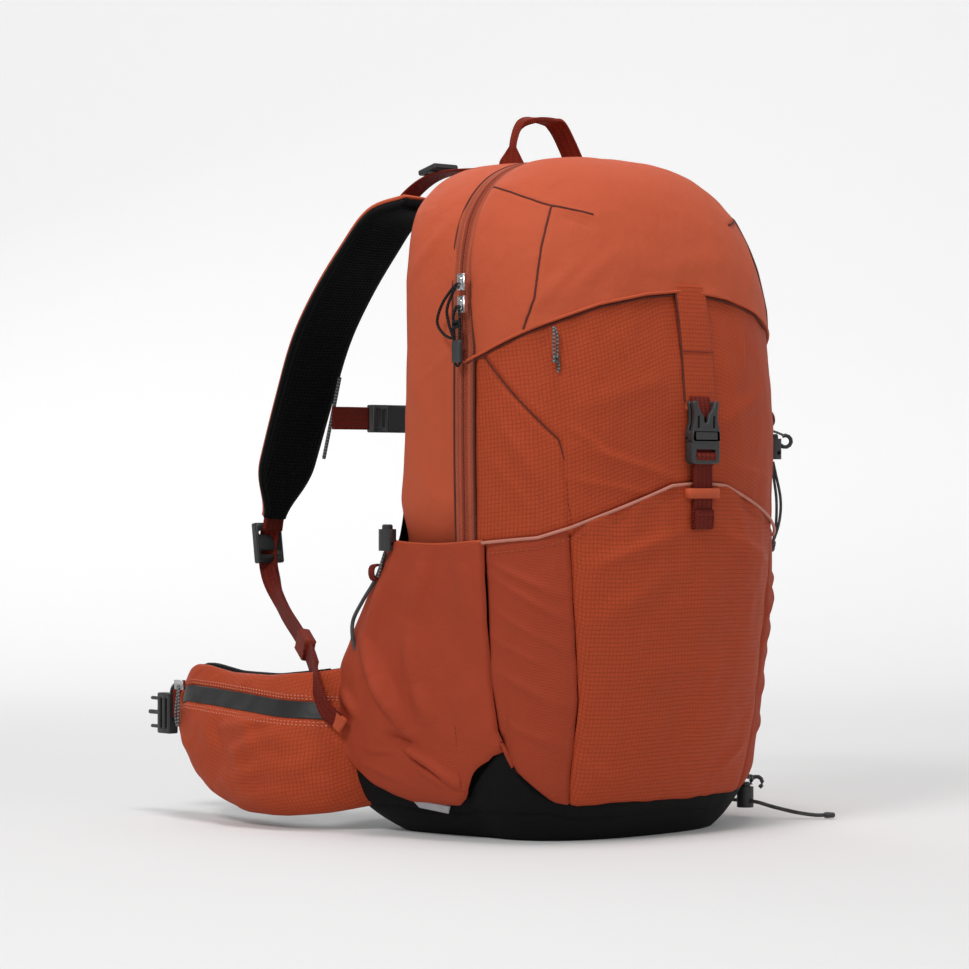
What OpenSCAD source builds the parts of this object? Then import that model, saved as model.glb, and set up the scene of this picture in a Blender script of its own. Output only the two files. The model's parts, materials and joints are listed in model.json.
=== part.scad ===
// Hiking daypack of about 25 litres: a panel-loading bag with a padded harness, a sternum strap,
// a hip belt with pocketed wings, stretch side pockets and a stash pocket on the front.
// Millimetres, +Z up. The front faces -Y, the wearer's back is at +Y, and the base rests on z = 0.

/* [Bag] */
// Height of the bag without its carry handle
bag_h = 499; // [490:1:508]
// Half of the bag's greatest width
half_w = 141; // [138:1:143]
// Depth from the side zip forward to the front
front_d = 105; // [102:1:107]
// Thickness of the panels' fabric and lining
wall = 2.4; // [2:0.2:3]

/* [Pockets] */
// Gap between the outer pockets and the panels behind them
pocket_gap = 14; // [12:1:15]
// Height of the bottle pockets' mouths
bottle_top = 224; // [218:1:226]
// Height of the stash pocket's mouth
stash_top = 262; // [256:1:264]

/* [Harness] */
// Width of the shoulder straps
strap_w = 52; // [48:1:54]
// Thickness of the shoulder straps' padding
strap_t = 11; // [9:1:12]
// Width of the webbing
web_w = 20; // [18:1:20]
// Thickness of the webbing
web_t = 1.8; // [1.4:0.2:2]

/* [Hip belt] */
// Height of a hip-belt wing
wing_h = 104; // [98:1:106]
// Length of a hip-belt wing
wing_l = 150; // [144:2:152]

/* [Hidden] */

ORANGE = "#b85034";
RUST = "#7c2418";
BLACK = "#262627";
PLASTIC = "#3a3a3c";
STEEL = "#b9bcc0";
GREY = "#9a9a9a";
FOAM = "#4a4a4c";

// Height where the dome of the top begins, and where the rounding of the base ends
dome_z = 300;
foot_z = 50;
// Height of the base fabric's upper edge, and the gap left between neighbouring panels
boot_z = 60;
seam = 0.6;
// Angles round the bag's section: 0 is the right side, 90 the back and 270 the front
rear_right = 40;
rear_left = 140;
zip_left = 186;
zip_right = 354;

// A superellipse quarter: 1 at t = 0, falling to 0 at t = 1
function dome(t, q) = pow(1 - pow(min(max(t, 0), 1), q), 1 / q);
function rise(z, from, to) = min(max((z - from) / (to - from), 0), 1);
function top_t(z) = rise(z, dome_z, bag_h);
function foot(z) = dome(0.65 * (1 - rise(z, 0, foot_z)), 2.2);

// Half width at the sides, the curve of the back and the curve of the front, by height
function width_at(z) = half_w * lookup(z, [[0, 0.89], [50, 0.92], [120, 0.96], [220, 0.99], [300, 1]]);
function back_at(z) = lookup(z, [[0, 130], [40, 140], [80, 145], [120, 137], [160, 118], [200, 97],
    [240, 82], [300, 74], [360, 72], [420, 76], [470, 90], [510, 102]]);
function front_at(z) = -front_d * lookup(z, [[0, 0.72], [50, 0.80], [100, 0.90], [200, 1], [300, 1],
    [360, 0.97], [500, 0.9]]);
function mid_at(z) = 12 * pow(top_t(z), 4);
// How far the side zips lean back above the lid, in degrees
function lean_at(z) = 8 * rise(z, 356, 450);
function flare_at(z) = 0.23 * (1 - rise(z, 80, 220)) + 0.1 * rise(z, 360, 460);

// One point of the bag's surface at angle a and height z, set in by d
function bag_point(a, z, d = 0) =
    let (back = sin(a) > 0, n = back ? 6 : 2.4, c = cos(a), s = sin(a))
    let (r = pow(pow(abs(c), n) + pow(abs(s), n), -1 / n))
    let (w = max(width_at(z) * dome(top_t(z), 3.1) * foot(z) - d, 0.5), mid = mid_at(z))
    let (deep_b = (back_at(z) - mid) * dome(top_t(z), 8) * foot(z) - d)
    let (deep_f = (mid - front_at(z)) * dome(top_t(z), 2.7) * foot(z) - d)
    [w * r * c * (1 + flare_at(z) * max(r * s, 0)), mid + max(back ? deep_b : deep_f, 0.5) * r * s,
        z - d * top_t(z)];

// Heights of a panel's rings, closer together towards the top of the dome
function rings(z0, z1, rows) = [for (i = [0:rows - 1]) let (u = i / (rows - 1))
    z0 + (z1 - z0) * (z1 == bag_h ? sin(90 * u) : u)];

// Faces of a closed shell between two grids of rows by cols points, the outer grid first
function shell_faces(rows, cols) = let (n = rows * cols) concat(
    [for (i = [0:rows - 2], j = [0:cols - 2]) each
        [[i * cols + j, i * cols + j + 1, (i + 1) * cols + j + 1],
         [i * cols + j, (i + 1) * cols + j + 1, (i + 1) * cols + j]]],
    [for (i = [0:rows - 2], j = [0:cols - 2]) each
        [[n + i * cols + j, n + (i + 1) * cols + j + 1, n + i * cols + j + 1],
         [n + i * cols + j, n + (i + 1) * cols + j, n + (i + 1) * cols + j + 1]]],
    [for (j = [0:cols - 2]) each [[j, n + j + 1, j + 1], [j, n + j, n + j + 1]]],
    [for (j = [0:cols - 2]) let (k = (rows - 1) * cols + j) each
        [[k, k + 1, n + k + 1], [k, n + k + 1, n + k]]],
    [for (i = [0:rows - 2]) let (k = i * cols) each
        [[k, k + cols, n + k + cols], [k, n + k + cols, n + k]]],
    [for (i = [0:rows - 2]) let (k = i * cols + cols - 1) each
        [[k, n + k + cols, k + cols], [k, n + k, n + k + cols]]]);

// A panel of the bag between two angles and two heights. It is set in by gap below gap_top, and its
// first and last edges turn by lean0 and lean1 times the zips' lean.
module panel(a0, a1, z0, z1, rows, cols, gap = 0, gap_top = 0, out = 0, lean0 = 0, lean1 = 0) {
    zs = rings(z0, z1, rows);
    at = [for (z = zs, j = [0:cols - 1]) let (u = j / (cols - 1))
        [a0 + (a1 - a0) * u + (lean0 * (1 - u) + lean1 * u) * lean_at(z), z,
            gap * (1 - rise(z, gap_top, gap_top + 12)) - out]];
    skin = [for (p = at) bag_point(p[0], p[1], p[2])];
    lining = [for (p = at) bag_point(p[0], p[1], p[2] + wall)];
    polyhedron(concat(skin, lining), shell_faces(rows, cols));
}

// Vectors for the swept bands and cords
function unit(v) = v / norm(v);
function along(p, i) = unit(p[min(i + 1, len(p) - 1)] - p[max(i - 1, 0)]);

// Faces of a closed tube of rings with n corners each
function tube_faces(rings, n) = concat(
    [for (i = [0:rings - 2], j = [0:n - 1]) let (k = (j + 1) % n) each
        [[i * n + j, (i + 1) * n + k, i * n + k], [i * n + j, (i + 1) * n + j, (i + 1) * n + k]]],
    [for (j = [1:n - 2]) [0, j, j + 1]],
    [for (j = [1:n - 2]) let (e = (rings - 1) * n) [e, e + j + 1, e + j]]);

// A flat band of width w and thickness t along path, its width lying along wide
module band(path, wide, w, t) {
    pts = [for (i = [0:len(path) - 1]) let (u = along(path, i), s = unit(cross(cross(u, wide), u)),
        n = cross(u, s)) each [path[i] - s * w / 2 - n * t / 2, path[i] + s * w / 2 - n * t / 2,
        path[i] + s * w / 2 + n * t / 2, path[i] - s * w / 2 + n * t / 2]];
    polyhedron(pts, tube_faces(len(path), 4));
}

// A round cord of diameter d along path, with eight sides
module cord(path, d) {
    pts = [for (i = [0:len(path) - 1])
        let (u = along(path, i), h = abs(u[2]) > 0.9 ? [1, 0, 0] : [0, 0, 1])
        let (s = unit(cross(u, h)), n = cross(u, s))
        each [for (k = [0:7]) path[i] + (s * cos(k * 45) + n * sin(k * 45)) * d / 2]];
    polyhedron(pts, tube_faces(len(path), 8));
}

// A smooth curve through hand-set points, with steps stretches between each two
function curve(p, steps) = let (n = len(p)) concat([for (i = [0:n - 2], k = [0:steps - 1])
    let (t = k / steps, a = p[max(i - 1, 0)], b = p[i], c = p[i + 1], d = p[min(i + 2, n - 1)])
    0.5 * (2 * b + (c - a) * t + (2 * a - 5 * b + 4 * c - d) * t * t
        + (3 * b - a - 3 * c + d) * t * t * t)], [p[n - 1]]);

// The other side of the bag
function flip(p) = [for (q = p) [-q[0], q[1], q[2]]];

// A sheet that follows the back, x0 to x1 wide, between depths d0 and d1 inside the back's curve
module back_sheet(x0, x1, z0, z1, d0, d1) {
    zs = [for (i = [0:16]) z0 + (z1 - z0) * i / 16];
    outline = concat([for (z = zs) [back_at(z) - d0, z]],
        [for (i = [16:-1:0]) [back_at(zs[i]) - d1, zs[i]]]);
    translate([x0, 0, 0]) rotate([90, 0, 90]) linear_extrude(x1 - x0) polygon(outline);
}

// Shoulder strap: centre line from the yoke down to the lower end, and the piece below it
strap_x = -88;
strap_path = curve([[strap_x + 6, 103, 470], [strap_x, 132, 462], [strap_x - 2, 160, 436],
    [strap_x - 2, 190, 405], [strap_x - 2, 216, 370], [strap_x - 2, 237, 325],
    [strap_x - 4, 256, 274], [strap_x - 6, 270, 232]], 4);
lock_at = [strap_x - 8, 276, 212];
tail_path = curve([[strap_x - 8, 277, 192], [strap_x - 12, 266, 165], [strap_x - 18, 240, 135],
    [strap_x - 28, 205, 108], [strap_x - 35, 175, 90], [strap_x - 37, 160, 82]], 4);
sternum_z = 311;
sternum_y = 229;

// Hip belt: root of the wing, its middle line and its thickness
wing_root = [-157, 157];
wing_t = 16;
wing_z = 64;
tip_z = wing_z + 14;
belt_buckle_w = 32;
// Cord routes
left_cord = [[-145.5, 73, 207.8], [-146, 82, 190], [-147, 97, 172], [-148.5, 106, 158], [-149.5, 106, 146],
    [-149.5, 102, 135]];
right_cord = [[151, -41, 276.2], [151.5, -41, 266], [153.5, -42, 250], [154, -42, 238], [153, -42, 226],
    [151, -41, 214]];
axe_route = [[128.5, -2, 36], [133, 0, 26], [139, -1, 16.5], [142, -7, 13], [142, -13, 13], [142, -20, 13],
    [142, -27, 13], [144, -33, 12.2], [151, -42, 9], [163, -54, 5], [173, -64, 3], [179, -70, 3]];

module base_boot() {
    rows = 9;
    cols = 49;
    pts = concat(
        [for (i = [0:rows - 1], j = [0:cols - 2]) bag_point(j * 360 / (cols - 1), boot_z * i / (rows - 1))],
        [for (i = [0:rows - 1], j = [0:cols - 2]) let (z = wall + (boot_z - wall) * i / (rows - 1))
            bag_point(j * 360 / (cols - 1), z, wall)]);
    m = cols - 1;
    n = rows * m;
    faces = concat(
        [for (i = [0:rows - 2], j = [0:m - 1]) let (k = (j + 1) % m) each
            [[i * m + j, (i + 1) * m + k, i * m + k], [i * m + j, (i + 1) * m + j, (i + 1) * m + k]]],
        [for (i = [0:rows - 2], j = [0:m - 1]) let (k = (j + 1) % m) each
            [[n + i * m + j, n + i * m + k, n + (i + 1) * m + k],
             [n + i * m + j, n + (i + 1) * m + k, n + (i + 1) * m + j]]],
        [for (j = [0:m - 1]) let (k = (j + 1) % m, e = (rows - 1) * m) each
            [[e + j, n + e + j, n + e + k], [e + j, n + e + k, e + k]]],
        [for (j = [1:m - 2]) [0, j, j + 1]],
        [for (j = [1:m - 2]) [n, n + j + 1, n + j]]);
    color(BLACK) polyhedron(pts, faces);
}

module back_panel() {
    color(BLACK) panel(rear_right + seam, rear_left - seam, boot_z + seam, 456, 28, 9);
}

module side_panel(a0, a1, lean0, lean1) {
    color(ORANGE) panel(a0, a1, boot_z + seam, bag_h, 44, 9, pocket_gap, bottle_top, 0, lean0, lean1);
}

module side_panel_left() {
    side_panel(rear_left, zip_left - 2, 0, -1);
}

module side_panel_right() {
    side_panel(zip_right + 2 - 360, rear_right, 1, 0);
}

module top_panel() {
    color(ORANGE) panel(rear_right + seam, rear_left - seam, 457, bag_h, 12, 13);
}

module lid_panel() {
    color(ORANGE) panel(zip_left + 2, zip_right - 2, 361, bag_h, 22, 33, 0, 0, 0, -1, 1);
}

module front_panel() {
    color(ORANGE) panel(zip_left + 2, zip_right - 2, boot_z + seam, 360, 28, 33, pocket_gap, stash_top);
}

module stash_pocket() {
    color(ORANGE) panel(203, 337, boot_z + seam, stash_top, 16, 25);
}

module bottle_pocket(a0, a1) {
    color(ORANGE) panel(a0, a1, boot_z + seam, bottle_top, 16, 9);
}

module bottle_pocket_left() {
    bottle_pocket(rear_left + 1, 202);
}

module bottle_pocket_right() {
    bottle_pocket(-22, rear_right - 1);
}

// Zip tape and coil up the left side, over the top and down the right side
zip_rings = rings(240, bag_h, 16);
zip_path = concat([for (z = zip_rings) bag_point(zip_left - lean_at(z), z, -1.8)],
    [for (i = [14:-1:0]) let (z = zip_rings[i]) bag_point(zip_right + lean_at(z), z, -1.8)]);

module main_zip() {
    color(RUST) band(zip_path, [0, 1, 0], 7, 1.4);
}

// A zip slider: a bridged body with a neck for the pull, in its own frame, facing -X
module slider(x, y, z) {
    translate([x, y, z]) difference() {
        union() {
            translate([-3, -4, -6]) cube([3, 8, 12]);
            translate([-5, -1.5, -5]) cube([2.5, 3, 8]);
        }
        translate([-4.6, -2, -2]) rotate([-90, 0, 0]) cylinder(d = 1.4, h = 4, $fn = 24);
    }
}

zip_x = -half_w - 2.2;
zip_y = -12;
upper_z = 404;
lower_z = 388;

module zip_slider_upper() {
    color(STEEL) slider(zip_x, zip_y, upper_z);
}

module zip_slider_lower() {
    color(STEEL) slider(zip_x, zip_y, lower_z);
}

// The two cord loops on the main zip's sliders, drawn as flat loops that hang from the lower one
module zip_pulls() {
    color(BLACK) translate([zip_x - 6.2, zip_y, lower_z - 22]) rotate([0, -90, 0]) difference() {
        hull() {
            translate([14, 0, 0]) cylinder(d = 7, h = 2.2, $fn = 24);
            translate([-14, 0, 0]) cylinder(d = 10, h = 2.2, $fn = 24);
        }
        translate([0, 0, -1]) hull() {
            translate([10, 0, 0]) cylinder(d = 2.4, h = 5, $fn = 24);
            translate([-14, 0, 0]) cylinder(d = 5.4, h = 5, $fn = 24);
        }
    }
}

front_y = -front_d;

// Reinforced strip down the middle of the front, which carries the buckle
module front_placket() {
    color(ORANGE) panel(264, 276, 318, 368, 6, 4, 0, 0, wall + 0.3);
}

module front_slider() {
    color(GREY) translate([-109.6, -70.2, 0]) rotate([0, 0, -37.5]) {
        translate([-4, -8.7, 366]) cube([8, 5, 6]);
        translate([-1.25, -8.5, 340]) cube([2.5, 2, 26.5]);
        translate([0, -7.8, 338.5]) sphere(d = 6, $fn = 24);
    }
}

// Side-release buckle: a socket with two windows, and a plug with two sprung prongs and a bar
module buckle_socket(w, h, t) {
    difference() {
        cube([w, t, h]);
        translate([2.5, t / 2 - 2.2, -1]) cube([w - 5, 4.4, h - 6]);
        translate([-1, t / 2 - 1.6, h * 0.3]) cube([w + 2, 3.2, h * 0.34]);
        translate([5, -1, h - 4]) cube([w - 10, t + 2, 2.2]);
    }
}

module buckle_plug(w, h, t, reach) {
    translate([0, 0, 0]) difference() {
        cube([w, t, h]);
        translate([4, -1, 3.4]) cube([w - 8, t + 2, 3]);
        translate([4, -1, 9.6]) cube([w - 8, t + 2, 3]);
    }
    translate([w / 2 - 1.6, t / 2 - 1.6, h]) cube([3.2, 3.2, reach]);
    for (side = [0, 1])
        translate([side == 0 ? 3.6 : w - 6.2, t / 2 - 1.6, h]) cube([2.6, 3.2, reach - 3]);
}

buckle_w = 27;
buckle_t = 8;
buckle_y = front_y - 11;
socket_z = 290;

module front_buckle_female() {
    color(PLASTIC) translate([-buckle_w / 2, buckle_y, socket_z]) buckle_socket(buckle_w, 28, buckle_t);
}

module front_buckle_male() {
    color(PLASTIC) translate([-buckle_w / 2, buckle_y, socket_z - 16.4])
        buckle_plug(buckle_w, 16, buckle_t, 20);
}

module front_webbing() {
    color(RUST) translate([-web_w / 2, buckle_y + 3.4, 226]) cube([web_w, web_t, socket_z - 16.8 - 226]);
}

module stash_loop() {
    color(ORANGE) translate([-16, buckle_y - 2, 248]) difference() {
        cube([32, 13, 8]);
        translate([2, 2, -1]) cube([28, 9, 10]);
    }
}

handle_y = 55;
handle_path = curve([[-35, handle_y, 504.5], [-33, handle_y, 511], [-29, handle_y, 524], [-17, handle_y, 534],
    [0, handle_y, 536], [17, handle_y, 534], [29, handle_y, 524], [33, handle_y, 511],
    [35, handle_y, 504.5]], 3);

module carry_handle() {
    color(RUST) band(handle_path, [0, 1, 0], 16, 3);
}

module frame_sheet() {
    color(BLACK) back_sheet(-96, 96, 70, 440, 12.5, 14);
}

module frame_stays() {
    color(STEEL) for (x = [-60, 52]) back_sheet(x, x + 8, 75, 435, 15, 17.4);
}

module back_foam() {
    color(FOAM) back_sheet(-98, 98, 68, 446, 6.2, 11.8);
}

module hydration_sleeve() {
    color(GREY) back_sheet(-85, 85, 110, 425, 19, 20.5);
}

// Two ribbed foam pads on the outside of the back and one across the lumbar
module lumbar_pad() {
    color(BLACK) {
        for (x = [-72, 22]) back_sheet(x, x + 50, 190, 440, -7, -0.6);
        back_sheet(-140, 140, 66, 150, -7, -0.6);
    }
}

module shoulder_strap_left() {
    color(BLACK) band(strap_path, [1, 0, 0], strap_w, strap_t);
}

module shoulder_strap_right() {
    color(BLACK) band(flip(strap_path), [1, 0, 0], strap_w, strap_t);
}

// Load lifters from the top of the back to the straps
lifter_path = [[-68, 84, 497], [-70, 106, 492], [-74, 124, 482], [-78, 136, 471.5]];

module load_lifters() {
    color(RUST) {
        band(lifter_path, [1, 0, 0], 18, web_t);
        band(flip(lifter_path), [1, 0, 0], 18, web_t);
    }
}

// A ladder lock seen flat: a frame with two slots, w wide, h high
module ladder_lock(w, h, t) {
    difference() {
        translate([-w / 2, -t / 2, -h / 2]) cube([w, t, h]);
        for (z = [-h / 4 - 1.5, h / 4 - 1.5])
            translate([-w / 2 + 3, -t, z]) cube([w - 6, 2 * t, 3.4]);
    }
}

module lifter_buckles() {
    color(PLASTIC) for (x = [-69, 69])
        translate([x, 101, 497.5]) rotate([76, 0, 0]) ladder_lock(24, 20, 4);
}

module strap_buckle(x) {
    color(PLASTIC) translate([x, lock_at[1], lock_at[2]]) rotate([-8, 0, 0]) ladder_lock(26, 32, 6);
}

module strap_buckle_left() {
    strap_buckle(lock_at[0]);
}

module strap_buckle_right() {
    strap_buckle(-lock_at[0]);
}

module strap_webbing_left() {
    color(RUST) band(tail_path, [0.9, -0.4, 0], web_w, web_t);
}

module strap_webbing_right() {
    color(RUST) band(flip(tail_path), [0.9, 0.4, 0], web_w, web_t);
}

// Rails of twisted cord on the straps' faces, which the sternum strap's ends clip on to
module sternum_rails() {
    color(GREY) for (s = [-1, 1])
        translate([s * 68, sternum_y + 1, sternum_z]) rotate([18, 0, 0]) translate([0, 0, -34])
            cylinder(d = 3, h = 68, $fn = 24);
}

module sternum_webbing(x0, x1) {
    color(RUST) translate([x0, sternum_y - 7, sternum_z - 9]) cube([x1 - x0, web_t, 18]);
}

module sternum_webbing_left() {
    sternum_webbing(-72, -34.8);
}

module sternum_webbing_right() {
    sternum_webbing(10.4, 72);
}

module sternum_buckle_female() {
    color(PLASTIC) translate([-18, sternum_y - 10, sternum_z - 11]) rotate([0, 90, 0]) mirror([1, 0, 0])
        buckle_socket(22, 28, 8);
}

module sternum_buckle_male() {
    color(PLASTIC) translate([-34.4, sternum_y - 10, sternum_z - 11]) rotate([0, 90, 0]) mirror([1, 0, 0])
        buckle_plug(22, 16, 8, 20);
}

// A hip-belt wing lies in the plane x = wing_root x, running back from the lumbar
module wing(side) {
    scale([side, 1, 1]) translate([wing_root[0], wing_root[1], wing_z]) {
        rotate([90, 0, 90]) translate([0, 0, -wing_t / 2]) linear_extrude(wing_t) polygon(concat(
            [[0, -38], [0, 44]],
            [for (a = [90:-15:-90]) [wing_l - 44 + 44 * cos(a), wing_h / 2 * sin(a) - 2]]));
        translate([0, 0, -38]) cylinder(d = wing_t, h = 82, $fn = 48);
    }
}

module belt_wing_left() {
    color(BLACK) wing(1);
}

module belt_wing_right() {
    color(BLACK) wing(-1);
}

// Zipped pouch on the outside of a wing
module pouch(side) {
    color(ORANGE) scale([side, 1, 1]) translate([wing_root[0] - wing_t / 2 - 0.2, wing_root[1], wing_z])
        mirror([1, 0, 0]) hull() {
            translate([0, 10, 34]) cube([1, 126, 6]);
            translate([0, 14, -50]) cube([1, 112, 6]);
            translate([14, 24, 22]) cube([1, 104, 4]);
            translate([20, 30, -30]) cube([1, 88, 16]);
        }
}

module belt_pocket_left() {
    pouch(1);
}

module belt_pocket_right() {
    pouch(-1);
}

module pouch_slider(side) {
    color(GREY) scale([side, 1, 1]) translate([wing_root[0] - wing_t / 2 - 17, wing_root[1] + 116, wing_z + 31]) {
        translate([-3, 0, 0]) cube([3, 6, 8]);
        translate([-3, 2, -14]) cube([2, 2, 14]);
    }
}

module belt_slider_left() {
    pouch_slider(1);
}

module belt_slider_right() {
    pouch_slider(-1);
}

belt_tip_y = wing_root[1] + wing_l + 0.5;

// Half of the hip belt's buckle, with its slots towards the wing and its far end at +Y
module belt_half(x) {
    translate([x, belt_tip_y, tip_z + belt_buckle_w / 2]) rotate([-90, 90, 0]) children();
}

module belt_buckle_female() {
    color(PLASTIC) belt_half(-wing_root[0] - 4) buckle_socket(belt_buckle_w, 30, 9);
}

module belt_buckle_male() {
    color(PLASTIC) belt_half(wing_root[0] - 4) buckle_plug(belt_buckle_w, 16, 9, 16);
}

module keeper_cord_left() {
    color(GREY) cord(curve(left_cord, 3), 3);
}

// Barrel cord lock with a cross bore for the cord, and a button that is pressed down into it
module cord_lock(p) {
    translate(p) difference() {
        cylinder(d = 13, h = 16, $fn = 32);
        translate([0, 0, 9]) cylinder(d = 8.4, h = 8, $fn = 32);
        translate([0, 10, 5]) rotate([90, 0, 0]) cylinder(d = 3.6, h = 20, $fn = 24);
    }
}

module lock_button(p) {
    translate(p + [0, 0, 12.5]) cylinder(d = 8, h = 7, $fn = 32);
}

left_lock = [-145, 71, 209.6];
right_lock = [151, -41, 278];
axe_lock = [142, -20, 8];

module cord_lock_left() {
    color(PLASTIC) cord_lock(left_lock);
}

module lock_button_left() {
    color(PLASTIC) lock_button(left_lock);
}

module keeper_loop_right() {
    color(RUST) translate([136.9, -40, 308]) rotate([0, 90, 0]) difference() {
        cylinder(d = 16, h = 9, $fn = 32);
        translate([0, 0, -1]) cylinder(d = 12, h = 11, $fn = 32);
    }
}

module keeper_cord_right() {
    color(GREY) cord(curve(right_cord, 3), 3);
}

module keeper_hook_right() {
    color(PLASTIC) cord_lock(right_lock);
}

module lock_button_right() {
    color(PLASTIC) lock_button(right_lock);
}

module axe_cord() {
    color(GREY) cord(curve(axe_route, 3), 3);
}

module axe_hook() {
    color(PLASTIC) cord_lock(axe_lock);
}

module lock_button_axe() {
    color(PLASTIC) lock_button(axe_lock);
}

base_boot();
back_panel();
side_panel_left();
side_panel_right();
top_panel();
lid_panel();
front_panel();
stash_pocket();
bottle_pocket_left();
bottle_pocket_right();
main_zip();
zip_slider_upper();
zip_slider_lower();
front_placket();
front_slider();
front_buckle_female();
front_buckle_male();
front_webbing();
stash_loop();
carry_handle();
frame_sheet();
frame_stays();
back_foam();
hydration_sleeve();
lumbar_pad();
shoulder_strap_left();
shoulder_strap_right();
load_lifters();
lifter_buckles();
strap_buckle_left();
strap_buckle_right();
strap_webbing_left();
strap_webbing_right();
sternum_rails();
sternum_webbing_left();
sternum_webbing_right();
sternum_buckle_female();
sternum_buckle_male();
belt_wing_left();
belt_wing_right();
belt_pocket_left();
belt_pocket_right();
belt_slider_left();
belt_slider_right();
belt_buckle_female();
belt_buckle_male();
keeper_cord_left();
cord_lock_left();
lock_button_left();
keeper_loop_right();
keeper_cord_right();
keeper_hook_right();
lock_button_right();
axe_cord();
axe_hook();
lock_button_axe();
zip_pulls();
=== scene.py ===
"""Looks of the daypack: fabric panels, padding, webbing, buckles, zips and cords on the CAD frame."""
import json
import math

import bmesh
import bpy
import numpy as np
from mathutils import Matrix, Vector, noise

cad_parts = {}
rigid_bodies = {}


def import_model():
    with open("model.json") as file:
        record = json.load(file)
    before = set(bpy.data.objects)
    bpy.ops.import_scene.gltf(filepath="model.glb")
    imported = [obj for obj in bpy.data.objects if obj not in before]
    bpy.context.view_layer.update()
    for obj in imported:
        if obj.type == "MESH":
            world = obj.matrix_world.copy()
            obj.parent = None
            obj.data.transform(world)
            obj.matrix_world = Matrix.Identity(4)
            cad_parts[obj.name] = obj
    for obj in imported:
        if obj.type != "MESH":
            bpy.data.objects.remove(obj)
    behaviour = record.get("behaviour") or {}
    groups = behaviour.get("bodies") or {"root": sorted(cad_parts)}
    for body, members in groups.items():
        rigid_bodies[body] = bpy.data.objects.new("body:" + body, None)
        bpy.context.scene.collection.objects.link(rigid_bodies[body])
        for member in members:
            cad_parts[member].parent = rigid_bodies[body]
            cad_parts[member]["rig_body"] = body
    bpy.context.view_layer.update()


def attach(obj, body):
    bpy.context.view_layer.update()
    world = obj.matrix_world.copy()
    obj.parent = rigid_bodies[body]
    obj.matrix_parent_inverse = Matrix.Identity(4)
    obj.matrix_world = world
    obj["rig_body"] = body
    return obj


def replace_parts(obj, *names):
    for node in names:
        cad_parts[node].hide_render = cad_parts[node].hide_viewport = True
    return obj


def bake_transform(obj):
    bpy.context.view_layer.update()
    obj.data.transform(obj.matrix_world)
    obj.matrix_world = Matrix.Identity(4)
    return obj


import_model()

SIDES = ((1, "left"), (-1, "right"))


# ------------------------------------------------------------------ the bag's surface, in metres
BAG_H = 0.499
TOP_Z = BAG_H - 2e-5
HALF_W = 0.141
FRONT_D = 0.105
DOME_Z = 0.300
FOOT_Z = 0.050
WIDTH = [(0, .89), (.05, .92), (.12, .96), (.22, .99), (.30, 1), (.5, 1)]
BACK = [(0, .130), (.04, .140), (.08, .145), (.12, .137), (.16, .118), (.20, .097), (.24, .082),
        (.30, .074), (.36, .072), (.42, .076), (.47, .090), (.51, .102)]
FRONT = [(0, .72), (.05, .80), (.10, .90), (.20, 1), (.30, 1), (.36, .97), (.50, .90)]


def smooth_table(x, table):
    """Monotone cubic interpolation of a short table of (x, y) pairs."""
    xs, ys = (np.array(v, float) for v in zip(*table))
    d = np.diff(ys) / np.diff(xs)
    m = np.concatenate([[d[0]], np.where(d[1:] * d[:-1] > 0, 2 * d[1:] * d[:-1] / (d[1:] + d[:-1] + 1e-12),
                                         0),
                        [d[-1]]])
    x = np.clip(np.asarray(x, float), xs[0], xs[-1])
    i = np.clip(np.searchsorted(xs, x) - 1, 0, len(d) - 1)
    h = xs[i + 1] - xs[i]
    t = (x - xs[i]) / h
    return (ys[i] * (1 + 2 * t) * (1 - t) ** 2 + m[i] * h * t * (1 - t) ** 2
            + ys[i + 1] * t * t * (3 - 2 * t) + m[i + 1] * h * t * t * (t - 1))


def rise(x, lo, hi):
    """0 up to lo, 1 from hi on, and a straight line between."""
    return np.clip((np.asarray(x, float) - lo) / (hi - lo), 0, 1)


def ease(x, lo, hi):
    """As rise, with soft ends."""
    t = rise(x, lo, hi)
    return t * t * (3 - 2 * t)


def dome(t, q):
    """Quarter of a superellipse, 1 at t = 0 and 0 at t = 1."""
    return np.power(1 - np.power(np.clip(t, 0, 1), q), 1 / q)


def bag(angle, z, out=0.0):
    """Points of the bag's surface at angles in degrees and heights z, moved out by out."""
    a, z = np.broadcast_arrays(np.radians(np.asarray(angle, float)), np.asarray(z, float))
    c, s = np.cos(a), np.sin(a)
    back = s > 0
    n = np.where(back, 6.0, 2.4)
    r = np.power(np.abs(c) ** n + np.abs(s) ** n, -1 / n)
    top = rise(z, DOME_Z, BAG_H)
    foot = dome(0.65 * (1 - rise(z, 0, FOOT_Z)), 2.2)
    mid = 0.012 * top ** 4
    w = HALF_W * smooth_table(z, WIDTH) * dome(top, 3.1) * foot + out
    deep_b = (smooth_table(z, BACK) - mid) * dome(top, 8) * foot + out
    deep_f = (mid + FRONT_D * smooth_table(z, FRONT)) * dome(top, 2.7) * foot + out
    flare = 0.23 * (1 - rise(z, 0.08, 0.22)) + 0.1 * rise(z, 0.36, 0.46)
    x = np.maximum(w, 5e-4) * r * c * (1 + flare * np.maximum(r * s, 0))
    y = mid + np.maximum(np.where(back, deep_b, deep_f), 5e-4) * r * s
    return np.stack([x, y, z + out * top], -1)


def zip_angle(z):
    """Angle of the main zip's middle line on the left side, in degrees."""
    return 186 - 8 * rise(z, 0.356, 0.450)


# ------------------------------------------------------------------ mesh helpers
def flipped(side):
    """Multiplier that keeps left-hand points (side 1) or mirrors them to the right (side -1)."""
    return np.array([side, 1, 1])


def unit(v):
    return v / np.linalg.norm(v, axis=-1, keepdims=True)


def place(name, data, body):
    """Links an object with the data, riding on the body."""
    obj = bpy.data.objects.new(name, data)
    bpy.context.scene.collection.objects.link(obj)
    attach(obj, body)
    return obj


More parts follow.
